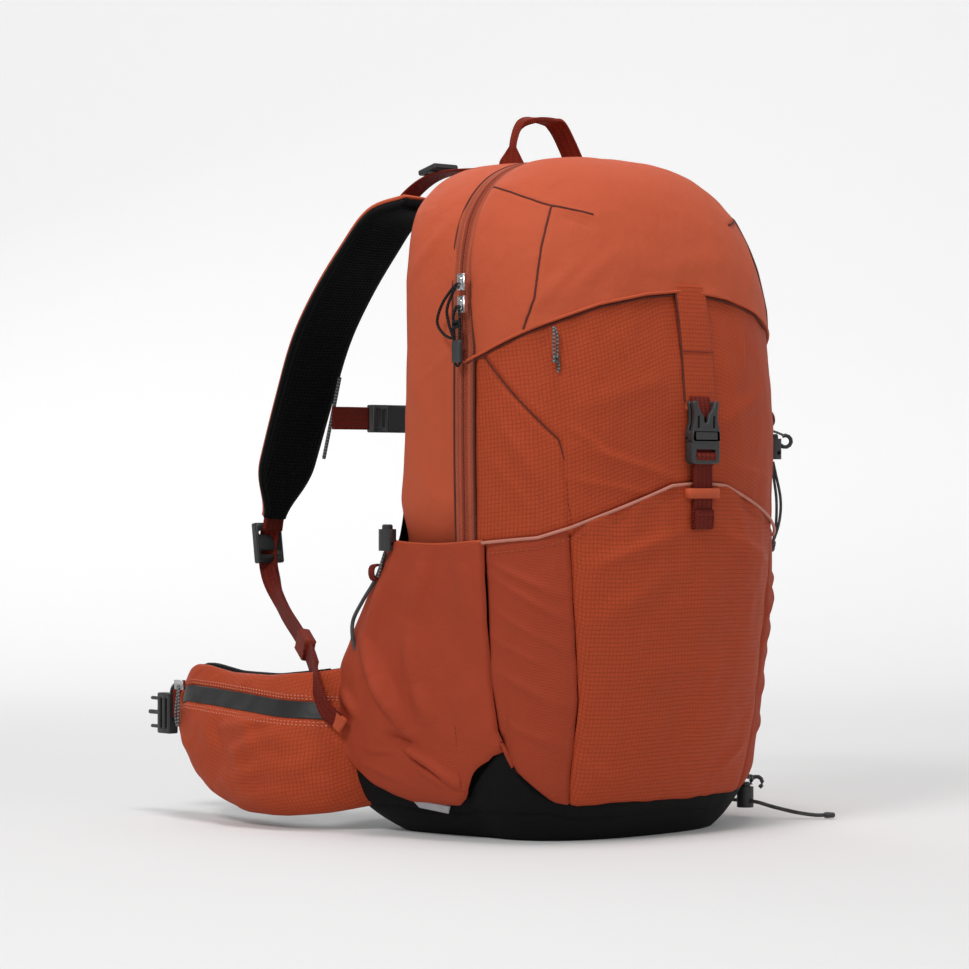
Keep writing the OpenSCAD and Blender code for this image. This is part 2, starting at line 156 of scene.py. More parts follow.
def new_object(name, verts, faces, body, mat, uvs=None):
    mesh = bpy.data.meshes.new(name)
    mesh.from_pydata([tuple(v) for v in verts], [], faces)
    if uvs is not None:
        layer = mesh.uv_layers.new(name="UVMap")
        loops = np.empty(len(mesh.loops), dtype=np.int32)
        mesh.loops.foreach_get("vertex_index", loops)
        layer.data.foreach_set("uv", np.asarray(uvs, float)[loops].ravel())
    mesh.polygons.foreach_set("use_smooth", [True] * len(mesh.polygons))
    mesh.update()
    mesh.materials.append(mat)
    return place(name, mesh, body)


def bend(obj, a, b, start, end):
    """Fabric that crosses the joint between two bodies, taken off its body and baked where it stands."""
    obj.parent = None
    del obj["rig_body"]
    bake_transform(obj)


def grid_normals(p):
    n = np.cross(np.gradient(p, axis=1), np.gradient(p, axis=0))
    return n / np.maximum(np.linalg.norm(n, axis=-1, keepdims=True), 1e-12)


def arc_lengths(p):
    """Lengths along a grid's rows and along its columns, in metres."""
    du = np.linalg.norm(np.diff(p, axis=1), axis=-1)
    dv = np.linalg.norm(np.diff(p, axis=0), axis=-1)
    u = np.concatenate([np.zeros((p.shape[0], 1)), np.cumsum(du, 1)], 1)
    v = np.concatenate([np.zeros((1, p.shape[1])), np.cumsum(dv, 0)], 0)
    return u, v


def grid_uv(p):
    """Arc lengths as texture coordinates, counted from the grid's middle column."""
    u, v = arc_lengths(p)
    u -= u[:, u.shape[1] // 2:u.shape[1] // 2 + 1]
    return np.stack([u, v], -1)


def grid_mesh(name, p, body, mat, thick=0.0012, flip=False):
    """A sheet from a grid of points, given its thickness inwards."""
    rows, cols = p.shape[:2]
    faces = []
    for i in range(rows - 1):
        for j in range(cols - 1):
            k = i * cols + j
            quad = (k, k + 1, k + cols + 1, k + cols)
            faces.append(quad[::-1] if flip else quad)
    obj = new_object(name, p.reshape(-1, 3), faces, body, mat, grid_uv(p).reshape(-1, 2))
    if thick:
        mod = obj.modifiers.new("thickness", "SOLIDIFY")
        mod.thickness = thick
        mod.offset = -1
    return obj


def noise_at(p, scale, seed, stretch=(1, 1, 1)):
    """Smooth noise, about -1 to 1, at every point of a grid."""
    s = Vector(stretch)
    shift = Vector((seed, seed, 0))
    values = [noise.noise(Vector((q[0] * s.x, q[1] * s.y,
                                  q[2] * s.z)) * scale + shift) for q in p.reshape(-1, 3)]
    return np.array(values).reshape(p.shape[:-1])


def crease(p, a, b, width, height):
    """A soft ridge, or a valley if height is negative, along the line from a to b."""
    d, t = crease_part(p, a, b)
    return height * np.exp(-(d / width) ** 2) * np.sin(np.pi * np.clip(0.08 + 0.84 * t, 0, 1)) ** 0.7


def fold_set(p, folds):
    """Sum of folds, each ((angle, z), (angle, z), width, height) in degrees and metres."""
    total = np.zeros(p.shape[:-1])
    for (a0, z0), (a1, z1), width, height in folds:
        zs = np.linspace(0, 1, 4)
        pts = bag(a0 + (a1 - a0) * zs, z0 + (z1 - z0) * zs)
        line = [crease_part(p, pts[k], pts[k + 1]) for k in range(3)]
        d = np.minimum.reduce([q[0] for q in line])
        along = np.choose(np.argmin([q[0] for q in line], 0), [(k + q[1]) / 3 for k, q in enumerate(line)])
        total += height * np.exp(-(d / width) ** 2) * np.sin(np.pi * np.clip(along, 0.04, 0.96)) ** 0.6
    return total


def crease_part(p, a, b):
    """Distance of each point from the line from a to b, and how far along it the nearest place is."""
    ab = b - a
    t = np.clip(((p - a) @ ab) / (ab @ ab), 0, 1)
    return np.linalg.norm(p - (a + t[..., None] * ab), axis=-1), t


def edge_distance(p):
    """Distance in metres of each grid point from the panel's left/right and lower/upper edges."""
    u, v = arc_lengths(p)
    return u, u[:, -1:] - u, v, v[-1:, :] - v


def puff(p, sides, height=0.0022, pinch=0.0016, reach=0.012):
    """Fabric that swells away from its sewn edges: sides is any of 'l', 'r', 'b', 't'."""
    dist = dict(zip("lrbt", edge_distance(p)))
    d = np.minimum.reduce([dist[k] for k in sides])
    return height * (1 - np.exp(-d / reach)) - pinch * np.exp(-(d / 0.0022) ** 2)


# ------------------------------------------------------------------ materials
def add(nodes, kind, **values):
    """A new shader node with its inputs or settings filled in."""
    node = nodes.new(kind)
    for key, value in values.items():
        if key in node.inputs:
            node.inputs[key].default_value = value
        else:
            setattr(node, key, value)
    return node


class Look:
    """A node material with one Principled shader and helpers for colour and height."""

    def __init__(self, name, color, rough, shine=0.12, metal=0.0):
        self.mat = bpy.data.materials.new(name)
        self.mat.use_nodes = True
        self.nodes, self.links = self.mat.node_tree.nodes, self.mat.node_tree.links
        self.bsdf = self.nodes["Principled BSDF"]
        self.bsdf.inputs["Base Color"].default_value = (*color, 1)
        self.bsdf.inputs["Roughness"].default_value = rough
        self.bsdf.inputs["Specular IOR Level"].default_value = shine
        self.bsdf.inputs["Metallic"].default_value = metal
        self.color, self.color_out, self.normal, self.coord = color, None, None, None

    def coords(self, kind="UV"):
        if self.coord is None:
            self.coord = self.nodes.new("ShaderNodeTexCoord")
        return self.coord.outputs[kind]

    def math(self, op, a, b=0.0, c=0.0):
        node = add(self.nodes, "ShaderNodeMath", operation=op)
        for i, v in enumerate((a, b, c)):
            if hasattr(v, "links"):
                self.links.new(v, node.inputs[i])
            else:
                node.inputs[i].default_value = v
        return node.outputs[0]

    def axes(self):
        """The two lengths across and along the cloth."""
        sep = self.nodes.new("ShaderNodeSeparateXYZ")
        self.links.new(self.coords(), sep.inputs[0])
        return sep.outputs

    def wave(self, coord, period, phase=0.0):
        """Sine of a coordinate, from 0 to 1."""
        turned = self.math("MULTIPLY_ADD", coord, 2 * math.pi / period, phase)
        return self.math("MULTIPLY_ADD", self.math("SINE", turned), 0.5, 0.5)

    def cloud(self, scale, detail=3):
        """Soft noise over the piece, from 0 to 1."""
        tex = add(self.nodes, "ShaderNodeTexNoise", Scale=scale, Detail=detail, Roughness=0.55)
        self.links.new(self.coords("Object"), tex.inputs["Vector"])
        return tex.outputs["Fac"]

    def tint(self, fac, dark, light=1.0):
        """Multiplies the colour by a factor that runs from dark to light as fac goes from 0 to 1."""
        scale = self.math("MULTIPLY_ADD", fac, light - dark, dark)
        mix = add(self.nodes, "ShaderNodeVectorMath", operation="SCALE")
        if self.color_out is None:
            mix.inputs[0].default_value = self.color
        else:
            self.links.new(self.color_out, mix.inputs[0])
        self.links.new(scale, mix.inputs["Scale"])
        self.color_out = mix.outputs[0]
        self.links.new(self.color_out, self.bsdf.inputs["Base Color"])

    def bump(self, height, distance, strength=1.0):
        node = add(self.nodes, "ShaderNodeBump", Strength=strength, Distance=distance)
        self.links.new(height, node.inputs["Height"])
        if self.normal is not None:
            self.links.new(self.normal, node.inputs["Normal"])
        self.normal = node.outputs["Normal"]
        self.links.new(self.normal, self.bsdf.inputs["Normal"])

    def wear(self, fac, low, high):
        self.links.new(self.math("MULTIPLY_ADD", fac, high - low, low), self.bsdf.inputs["Roughness"])


def plain_weave(look, pitch=0.0009, depth=0.00022, dark=0.86):
    """Over-and-under threads seen as a fine checker of crossing waves."""
    x, y = look.axes()[:2]
    cross = look.math("MULTIPLY", look.wave(x, pitch), look.wave(y, pitch))
    cross2 = look.math("MULTIPLY", look.wave(x, pitch, math.pi), look.wave(y, pitch, math.pi))
    threads = look.math("ADD", cross, cross2)
    look.tint(threads, dark)
    look.bump(threads, depth, 0.6)


def orange_nylon():
    look = Look("orange_nylon", ORANGE, 0.62)
    plain_weave(look)
    look.tint(look.cloud(9, 4), 0.90, 1.08)
    look.bump(look.cloud(160, 4), 0.0009, 0.5)
    look.bump(look.cloud(38, 3), 0.0035, 0.35)
    look.wear(look.cloud(20), 0.54, 0.70)
    return look.mat


def ripstop(name="ripstop", color=None, pitch=0.0031):
    look = Look(name, color or RIPSTOP, 0.6)
    x, y = look.axes()[:2]
    line_x = look.math("GREATER_THAN", look.wave(x, pitch), 0.93)
    line_y = look.math("GREATER_THAN", look.wave(y, pitch), 0.93)
    cell = look.math("MAXIMUM", line_x, line_y)
    look.tint(cell, 1.0, 0.80)
    look.bump(cell, 0.0005, 0.8)
    plain_weave(look, 0.0008, 0.00015, 0.90)
    look.tint(look.cloud(9, 4), 0.90, 1.08)
    look.bump(look.cloud(120, 4), 0.0010, 0.5)
    look.wear(look.cloud(20), 0.52, 0.68)
    return look.mat


def stretch_rib():
    """Fine horizontal ribs of four-way stretch fabric, pulled into slight diagonal ripples."""
    look = Look("stretch_rib", STRETCH, 0.7)
    x, y = look.axes()[:2]
    slanted = look.math("MULTIPLY_ADD", x, 0.35, y)
    rib = look.wave(slanted, 0.0021)
    look.tint(rib, 0.88)
    look.bump(rib, 0.0002, 0.5)
    plain_weave(look, 0.0010, 0.00010, 0.94)
    look.tint(look.cloud(14, 4), 0.88, 1.08)
    look.bump(look.cloud(70, 4), 0.0020, 0.4)
    return look.mat


def stretch_weave():
    """Softer diagonal twill of the bottle pockets' stretch fabric."""
    look = Look("stretch_weave", STRETCH, 0.72)
    x, y = look.axes()[:2]
    twill = look.wave(look.math("ADD", x, y), 0.0016)
    look.tint(twill, 0.90)
    look.bump(twill, 0.0002, 0.5)
    look.tint(look.cloud(10, 4), 0.88, 1.08)
    look.bump(look.cloud(90, 4), 0.0016, 0.45)
    return look.mat


def black_cloth():
    look = Look("black_cloth", BLACK, 0.72)
    plain_weave(look, 0.0013, 0.0003, 0.62)
    look.tint(look.cloud(12, 4), 0.8, 1.25)
    look.bump(look.cloud(110, 4), 0.0010, 0.5)
    look.wear(look.cloud(24), 0.62, 0.8)
    return look.mat


def spacer_mesh():
    """Open three-dimensional mesh: a hexagonal field of small dark holes."""
    look = Look("spacer_mesh", MESH, 0.85)
    mapping = add(look.nodes, "ShaderNodeMapping")
    mapping.inputs["Scale"].default_value = (300, 380, 300)
    look.links.new(look.coords(), mapping.inputs["Vector"])
    cells = add(look.nodes, "ShaderNodeTexVoronoi", Scale=1.0, Randomness=0.12, voronoi_dimensions="2D")
    look.links.new(mapping.outputs[0], cells.inputs["Vector"])
    hole = look.math("LESS_THAN", cells.outputs["Distance"], 0.28)
    look.tint(hole, 1.0, 0.18)
    look.bump(cells.outputs["Distance"], 0.0012, 0.9)
    look.tint(look.cloud(14, 4), 0.8, 1.2)
    return look.mat


def webbing(name="webbing", color=None):
    """Ribbed narrow weave: rows across and a fine herringbone along the length."""
    look = Look(name, color or RUST, 0.66)
    x, y = look.axes()[:2]
    zig = look.math("PINGPONG", x, 0.0022)
    rows = look.wave(look.math("ADD", y, zig), 0.0019)
    look.tint(rows, 0.52, 1.15)
    look.bump(rows, 0.0008, 0.9)
    look.tint(look.wave(x, 0.0044), 0.82, 1.05)
    look.tint(look.cloud(60, 3), 0.85, 1.1)
    return look.mat


def moulded():
    look = Look("moulded_plastic", PLASTIC, 0.42, 0.5)
    look.bump(look.cloud(1400, 2), 0.00025, 0.35)
    look.tint(look.cloud(40, 3), 0.88, 1.15)
    look.wear(look.cloud(90, 3), 0.36, 0.52)
    return look.mat


def plated():
    look = Look("plated_metal", (0.62, 0.62, 0.64), 0.24, 0.5, 1.0)
    look.bump(look.cloud(900, 3), 0.0001, 0.3)
    look.tint(look.cloud(120, 3), 0.7, 1.08)
    look.wear(look.cloud(300, 3), 0.16, 0.36)
    return look.mat


def brushed():
    look = Look("stay_aluminium", (0.7, 0.7, 0.72), 0.35, 0.5, 1.0)
    look.bump(look.cloud(700, 2), 0.0001, 0.4)
    look.wear(look.cloud(200, 2), 0.28, 0.45)
    return look.mat


def braid(name, color, dark):
    """Braided cord: two crossing spirals of light and dark strands."""
    look = Look(name, color, 0.6)
    x, y = look.axes()[:2]
    one = look.wave(look.math("MULTIPLY_ADD", x, 0.006, y), 0.0026)
    two = look.wave(look.math("MULTIPLY_ADD", x, -0.006, y), 0.0026)
    strands = look.math("MULTIPLY", one, two)
    look.tint(strands, dark, 0.9)
    look.bump(strands, 0.0005, 0.9)
    return look.mat


# Painted shade: a dark red-brown material for thin tubes laid in seam grooves, along zip gaps and under edges,
# where shade falls.
def seam_shade_look():
    look = Look("seam_shadow", (0.10, 0.018, 0.010), 0.9, 0.5)
    look.tint(look.cloud(200, 2), 0.6, 1.3)
    return look.mat


def thread(name, color):
    look = Look(name, color, 0.5)
    look.bump(look.cloud(2500, 2), 0.0002, 0.5)
    look.tint(look.cloud(150, 2), 0.8, 1.2)
    return look.mat


def laminated_zip():
    """Water-resistant zip: a smooth coated tape with a slight sheen."""
    look = Look("laminated_zip", (0.012, 0.012, 0.013), 0.38, 0.5)
    look.bump(look.cloud(300, 4), 0.0003, 0.5)
    look.tint(look.cloud(60, 3), 0.8, 1.3)
    look.wear(look.cloud(60, 3), 0.30, 0.5)
    return look.mat


def foam_sheet():
    look = Look("closed_foam", (0.05, 0.05, 0.055), 0.9, 0.5)
    look.bump(look.cloud(900, 3), 0.0004, 0.7)
    look.tint(look.cloud(60, 3), 0.8, 1.2)
    return look.mat


ORANGE = (0.560, 0.100, 0.042)
RIPSTOP = (0.480, 0.070, 0.024)
STRETCH = (0.400, 0.060, 0.026)
TAPE = (0.60, 0.130, 0.065)
RUST = (0.235, 0.024, 0.014)
BLACK = (0.0062, 0.0062, 0.0064)
MESH = (0.0045, 0.0045, 0.0048)
PLASTIC = (0.034, 0.034, 0.036)
GREY = (0.30, 0.30, 0.30)

M_ORANGE = orange_nylon()
M_RIPSTOP = ripstop()
M_STRETCH = stretch_rib()
M_STRETCH_PLAIN = stretch_weave()
M_BLACK = black_cloth()
M_MESH = spacer_mesh()
M_WEB = webbing()
M_TAPE = webbing("zip_tape", TAPE)
M_PLASTIC = moulded()
M_METAL = plated()
M_CORD = braid("grey_cord", GREY, 0.25)
M_BLACK_CORD = braid("black_cord", (0.03, 0.03, 0.03), 0.4)
M_FOAM = foam_sheet()
# The seam material below is painted shade for seam grooves, zip gaps and edges.
M_SEAM_SHADE = seam_shade_look()
M_THREAD = thread("orange_thread", (0.40, 0.10, 0.05))
M_THREAD_DARK = thread("rust_thread", (0.22, 0.03, 0.02))
M_PIPING = thread("piping", (0.50, 0.20, 0.15))
M_ZIP_BLACK = laminated_zip()
M_TAPE_RIB = webbing("zip_teeth_cover", (0.50, 0.085, 0.040))
M_THREAD_PALE = thread("pale_thread", (0.62, 0.22, 0.15))
M_HANDLE = webbing("handle_webbing", (0.33, 0.040, 0.020))
M_REFLECT = thread("reflective_grey", (0.42, 0.42, 0.44))
M_STAY = brushed()
M_SLEEVE = ripstop("sleeve_nylon", (0.2, 0.2, 0.2))


# ------------------------------------------------------------------ fabric panels of the bag
HEM = [(186, .345), (196, .352), (212, .366), (222, .374), (237, .386), (253, .394), (270, .398),
       (287, .394), (303, .386), (318, .374), (328, .366), (344, .352), (354, .345)]
STASH = [(195, .216), (216, .220), (226, .227), (248, .247), (259, .257), (270, .259), (281, .257),
         (292, .247), (314, .227), (324, .220), (345, .216)]
BASE = [(0, .034), (4, .030), (19, .030), (32, .042), (44, .070), (60, .078), (122, .084), (135.5, .074),
        (141, .059), (148, .042), (154, .034), (161, .030), (177, .031), (190, .052), (204, .075),
        (206.5, .060), (210, .049), (216, .038), (224, .032), (232, .028), (270, .030), (308, .028),
        (318, .032), (329, .048), (337, .074), (350, .050), (360, .034)]
TAPE_HALF = 4.1
POCKET_TOP = 0.217


def table(x, pts):
    xs, ys = zip(*pts)
    return np.interp(x, xs, ys)


def pocket_top(a):
    """Height of the bottle pockets' mouths at an angle."""
    return POCKET_TOP - 0.003 * np.sin(np.radians(a - 134) * 3)


def tape_left(z):
    """Front edge of the zip's tape on the left side."""
    return zip_angle(z) + TAPE_HALF


def tape_right(z):
    return 540 - zip_angle(z) - TAPE_HALF


def along_line(points, count):
    """Angles and heights at even steps of the list, along a line set by (angle, z) points."""
    pts = np.array(points, float)
    t = np.linspace(0, len(pts) - 1, count)
    return [np.interp(t, range(len(pts)), pts[:, k]) for k in (0, 1)]


def panel_grid(a_left, a_right, z_low, z_high, rows, cols, out=0.0, crown=False):
    """A grid on the bag: a_left and a_right are functions of z, z_low and z_high of the angle."""
    u = np.linspace(0, 1, cols)[None, :]
    v = np.linspace(0, 1, rows)[:, None]
    rowed = np.sin(v * math.pi / 2) if crown else v
    z = np.full((rows, cols), 0.25)
    for _ in range(4):
        a = a_left(z) * (1 - u) + a_right(z) * u
        lo, hi = z_low(a), z_high(a)
        z = lo + (hi - lo) * rowed
    a = a_left(z) * (1 - u) + a_right(z) * u
    return a, z, bag(a, z, out)


def outward_normals(p, centre):
    """A grid's normals, all turned away from a point inside the bag."""
    n = grid_normals(p)
    n *= np.sign(np.sum(n * (p - np.array(centre)), -1, keepdims=True))
    return n


def dress(p, sides, relief, **puffed):
    """Moves a panel's points along its normals by its puff and any extra relief."""
    return p + outward_normals(p, (0, 0.02, 0.25)) * (puff(p, sides, **puffed) + relief)[..., None]


def ripples(p, seed, amount=0.0009):
    """Soft slack of light fabric at two scales."""
    return (amount * noise_at(p, 26, seed, (1, 1, 0.6))
            + 0.45 * amount * noise_at(p, 75, seed + 7, (1, 1, 0.7)))


def const(value):
    """A panel edge at the same angle or height all along."""
    return lambda x: np.full_like(np.asarray(x, float), value)


def side_panels():
    """Plain gussets between the back edge and the main zip, and the yoke over the top."""
    for side, name in SIDES:
        _, z, p = panel_grid(const(140), lambda z: zip_angle(z) - TAPE_HALF, const(0.19), const(TOP_Z), 150,
                             44,
                             crown=True)
        sink = -0.0125 * (1 - ease(z, .205, .250))
        p = dress(p, "r", sink + fold_set(p, SIDE_FOLDS) + ripples(p, 3 - side), height=0.0018)
        obj = grid_mesh("side_panel_%s_fabric" % name, p * flipped(side), "pack", M_ORANGE,
                        flip=side > 0)
        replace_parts(obj, "side_panel_%s" % name)
    _, z, p = panel_grid(const(40), const(140), const(0.456), const(TOP_Z), 40, 90, crown=True)
    p = dress(p, "b", ripples(p, 9), height=0.001)
    obj = grid_mesh("top_yoke_fabric", p, "pack", M_ORANGE)
    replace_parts(obj, "top_panel")


SIDE_FOLDS = [((150, .33), (183, .36), .0022, .0009), ((144, .41), (170, .455), .006, .0016),
              ((150, .27), (178, .235), .007, .0012), ((143, .36), (160, .30), .010, .0014)]
LID_FOLDS = [((221, .456), (238, .449), .0028, .0034), ((222, .450), (236, .441), .0022, -.0022),
             ((216, .470), (226, .478), .0050, .0012), ((214, .38), (232, .42), .0060, .0016),
             ((222, .385), (246, .43), .0060, .0012), ((300, .40), (318, .44), .0060, .0015),
             ((190, .39), (206, .43), .0050, .0012), ((250, .41), (290, .425), .0090, .0010)]
LID_SEAMS = [[(184, .474), (200, .468), (221, .456), (237, .450)],
             [(221, .456), (218, .426), (216, .390), (212, .368)]]
FRONT_SEAM = [(196, .350), (210, .318), (223, .290), (224.5, .276), (226, .228)]


def seam_line(p, pts, width=0.0024, depth=0.0019, mirror=False):
    """A sewn valley along a line of (angle, z) points, with a slight swell on each side."""
    best = np.full(p.shape[:-1], 1.0)
    pts = np.array(pts, float)
    if mirror:
        pts[:, 0] = 540 - pts[:, 0]
    fine = np.concatenate([np.linspace(pts[k], pts[k + 1], 7)[:-1] for k in range(len(pts) - 1)] + [pts[-1:]])
    q = bag(fine[:, 0], fine[:, 1])
    for k in range(len(q) - 1):
        best = np.minimum(best, crease_part(p, q[k], q[k + 1])[0])
    return 0.0007 * np.exp(-(best / 0.006) ** 2) - depth * np.exp(-(best / width) ** 2)


def trace(a, z, p, line, count=140):
    """The points of a grid that lie under a line set in angle and height."""
    line_a, line_z = along_line(line, count)
    near = [np.argmin((0.14 * np.radians(a - x)) ** 2 + (z - y) ** 2) for x, y in zip(line_a, line_z)]
    found = p.reshape(-1, 3)[near]
    wide = np.concatenate([found[:1]] * 3 + [found] + [found[-1:]] * 3)
    return np.array([wide[k:k + 7].mean(0) for k in range(count)])


def lid():
    """Smooth front of the lid, with a dart and a hem that covers the front pocket's zip."""
    a, z, p = panel_grid(tape_left, tape_right, lambda a: table(a, HEM), const(TOP_Z), 260, 380, 0.0022, True)
    relief = fold_set(p, LID_FOLDS) + ripples(p, 21)
    for line in LID_SEAMS:
        relief += seam_line(p, line) + seam_line(p, line, mirror=True)
    hem_gap = z - table(a, HEM)
    relief += 0.0004 * np.exp(-(hem_gap / 0.006) ** 2) * np.sin(np.radians(a) * 17)
    relief -= 0.0010 * ease(-hem_gap, -0.03, 0)
    p = dress(p, "lr", relief)
    obj = grid_mesh("lid_fabric", p, "pack", M_ORANGE, 0.0016)
    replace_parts(obj, "lid_panel")
    # Painted shade: thin dark tubes traced along the lid's seams, where the seam grooves fall into shade.
    for number, line in enumerate(LID_SEAMS):
        for side, tag in SIDES:
            track = trace(a, z, p, line) * flipped(side)
            seam_tube("lid_seam_%d_%s" % (number, tag), track, 0.0008, "pack", M_SEAM_SHADE)


def gathers(a, z, line, count, depth, reach):
    """Small vertical puckers that fade away below a sewn line."""
    below = table(a, line) - z
    return depth * np.sin(np.radians(a) * count) * np.exp(-np.clip(below, 0, 1) / reach)


def front():
    """Ripstop front between the lid's hem and the stash pocket, behind both."""
    a, z, p = panel_grid(tape_left, tape_right, lambda a: table(a, STASH) - 0.022,
                         lambda a: table(a, HEM) + 0.008, 150, 300)
    below = table(a, STASH) + 0.002 - z
    relief = -0.0042 * ease(below, -0.003, 0.012) - 0.0014 * ease(z, .335, .40)
    relief += gathers(a, z, HEM, 31, 0.0003, 0.018) + ripples(p, 33, 0.0011)
    relief += seam_line(p, FRONT_SEAM) + seam_line(p, FRONT_SEAM, mirror=True)
    relief += fold_set(p, FRONT_FOLDS)
    p = dress(p, "lr", relief)
    obj = grid_mesh("front_fabric", p, "pack", M_RIPSTOP, 0.0012)
    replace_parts(obj, "front_panel")


FRONT_FOLDS = [((228, .285), (262, .262), .0040, .0020), ((226, .262), (252, .252), .0032, .0015),
               ((232, .315), (258, .335), .0080, .0014), ((278, .300), (306, .330), .0070, .0015),
               ((284, .272), (312, .262), .0040, .0016), ((226, .300), (240, .275), .0035, .0016),
               ((200, .31), (220, .25), .0060, .0016), ((198, .28), (216, .235), .0050, .0014),
               ((240, .372), (244, .345), .0030, .0012), ((294, .372), (292, .345), .0030, .0012)]
GUSSET = [(.02, 229), (.032, 229), (.104, 230), (.176, 227), (.226, 226), (.30, 226)]
POCKET_FRONT = [(.02, 224), (.036, 218), (.054, 208), (.082, 200), (.118, 197), (.162, 196), (.216, 195),
                (.30, 195)]
STASH_FOLDS = [((232, .20), (262, .224), .006, .0018), ((278, .224), (308, .200), .006, .0018),
               ((232, .06), (250, .040), .006, .0014), ((288, .045), (306, .070), .006, .0016),
               ((240, .13), (300, .118), .014, .0014), ((234, .16), (256, .19), .009, .0013)]
GUSSET_FOLDS = [((197, .205), (222, .180), .0032, .0017), ((198, .195), (226, .160), .0040, .0019),
                ((199, .170), (225, .140), .0034, .0014), ((198, .150), (220, .128), .0030, .0011),
                ((199, .128), (224, .100), .0042, .0014), ((203, .090), (226, .070), .0040, .0014)]
BOTTLE_FOLDS = [((144.5, .144), (157, .096), .0065, .0046), ((152, .118), (163, .078), .0060, .0050),
                ((156, .074), (165, .068), .0050, -.0040), ((159.5, .070), (170.5, .056), .0036, .0040),
                ((168, .058), (180, .040), .0034, .0036), ((160, .066), (181, .037), .0022, -.0028),
                ((149, .064), (158, .064), .0028, .0020), ((140, .104), (148, .086), .0045, .0024),
                ((146, .195), (145, .144), .0070, .0028), ((163, .204), (160, .160), .0080, .0022),
                ((160, .160), (165, .112), .0075, .0024), ((165, .112), (172, .084), .0070, .0020),
                ((136, .080), (144, .052), .0048, .0026), ((165, .054), (174, .042), .0026, .0016),
                ((174, .150), (190, .100), .0120, .0014), ((186, .205), (190, .150), .0100, .0012),
                ((148, .052), (160, .044), .0030, .0018)]


def base_top(a):
    """Lower edge of the pockets, just inside the base's upper edge."""
    return table(a, BASE) - 0.003


def pocket_front(z):
    """Seam between a bottle pocket and the stash pocket's gusset."""
    return table(z, POCKET_FRONT)


def stash_pocket():
    """Outer pocket: a ripstop middle between two ribbed stretch gussets."""
    def seam(z):
        return table(z, GUSSET)

    def mouth(a):
        return table(a, STASH)
    a, z, p = panel_grid(seam, lambda z: 540 - seam(z), base_top, mouth, 170, 150, 0.0012)
    sag = 0.0012 * np.exp(-((z - table(a, STASH)) / 0.010) ** 2) * np.sin(np.radians(a) * 22)
    relief = 1.5 * fold_set(p, STASH_FOLDS) + ripples(p, 41, 0.0018) + sag
    p = dress(p, "lrb", relief, height=0.0030)
    middle = grid_mesh("stash_pocket_middle", p, "pack", M_RIPSTOP, 0.0016)
    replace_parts(middle, "stash_pocket")
    for side, name in SIDES:
        _, _, p = panel_grid(pocket_front, seam, base_top, mouth, 170, 54, 0.0012)
        relief = 1.6 * fold_set(p, GUSSET_FOLDS) + ripples(p, 50 - side, 0.0012)
        p = dress(p, "lrb", relief, height=0.0026) * flipped(side)
        obj = grid_mesh("stash_gusset_%s" % name, p, "pack", M_STRETCH, 0.0016, flip=side < 0)
        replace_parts(obj, "stash_pocket")


def bottle_pockets():
    """Slack stretch pockets on the sides, deepest at their lower rear corners."""
    for side, name in SIDES:
        a, z, p = panel_grid(const(134), pocket_front, base_top, pocket_top, 170, 120, 0.0016)
        relief = 1.7 * fold_set(p, BOTTLE_FOLDS) + ripples(p, 60 - side, 0.0024)
        relief += 0.0030 * ease(z, .18, .08) * np.sin(np.clip((a - 140) / 60, 0, 1) * math.pi)
        p = dress(p, "rb", relief, height=0.0026) * flipped(side)
        obj = grid_mesh("bottle_pocket_%s_fabric" % name, p, "pack", M_STRETCH_PLAIN, 0.0018,
                        flip=side > 0)
        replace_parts(obj, "bottle_pocket_%s" % name)


def base():
    """Hard-wearing black base, with its lower seam and rounded bottom."""
    a = np.linspace(0, 360, 361)[None, :]
    v = np.linspace(0, 1, 44)[:, None]
    z = (table(a, BASE) + 0.012) * v
    p = bag(np.broadcast_to(a, z.shape), z, 0.0006)
    seam = np.abs(z - np.minimum(0.021, table(a, BASE) * 0.6))
    relief = -0.0012 * np.exp(-(seam / 0.0014) ** 2) + ripples(p, 71, 0.0012) * ease(z, 0.002, 0.02)
    relief = relief - 0.0024 * ease(z - table(a, BASE), -0.004, 0.002)
    p = p + outward_normals(p, (0, 0.02, 0.05)) * relief[..., None]
    p[..., 2] = np.maximum(p[..., 2], 0)
    p[0, :, 2] = 0
    p[:, -1] = p[:, 0]
    centre = np.array([0, 0.03, 0.0])
    inner = [centre + (p[0] - centre) * s for s in (0.02, 0.35, 0.65, 0.88)]
    p = np.concatenate([np.array(inner), p])
    obj = grid_mesh("base_fabric", p, "pack", M_BLACK, 0.0012)
    weld(obj)
    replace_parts(obj, "base_boot")


def weld(obj, distance=1e-5):
    """Joins vertices that lie in the same place."""
    bm = bmesh.new()
    bm.from_mesh(obj.data)
    bmesh.ops.remove_doubles(bm, verts=bm.verts, dist=distance)
    bm.to_mesh(obj.data)
    bm.free()


def back():
    """Mesh-covered back; the two ribbed pads and the lumbar pad are added by back_pads."""
    _, _, p = panel_grid(const(40), const(140), base_top, const(0.458), 120, 70)
    p = dress(p, "t", ripples(p, 80, 0.0006), height=0.0006)
    obj = grid_mesh("back_mesh", p, "pack", M_MESH, 0.0014)
    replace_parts(obj, "back_panel")


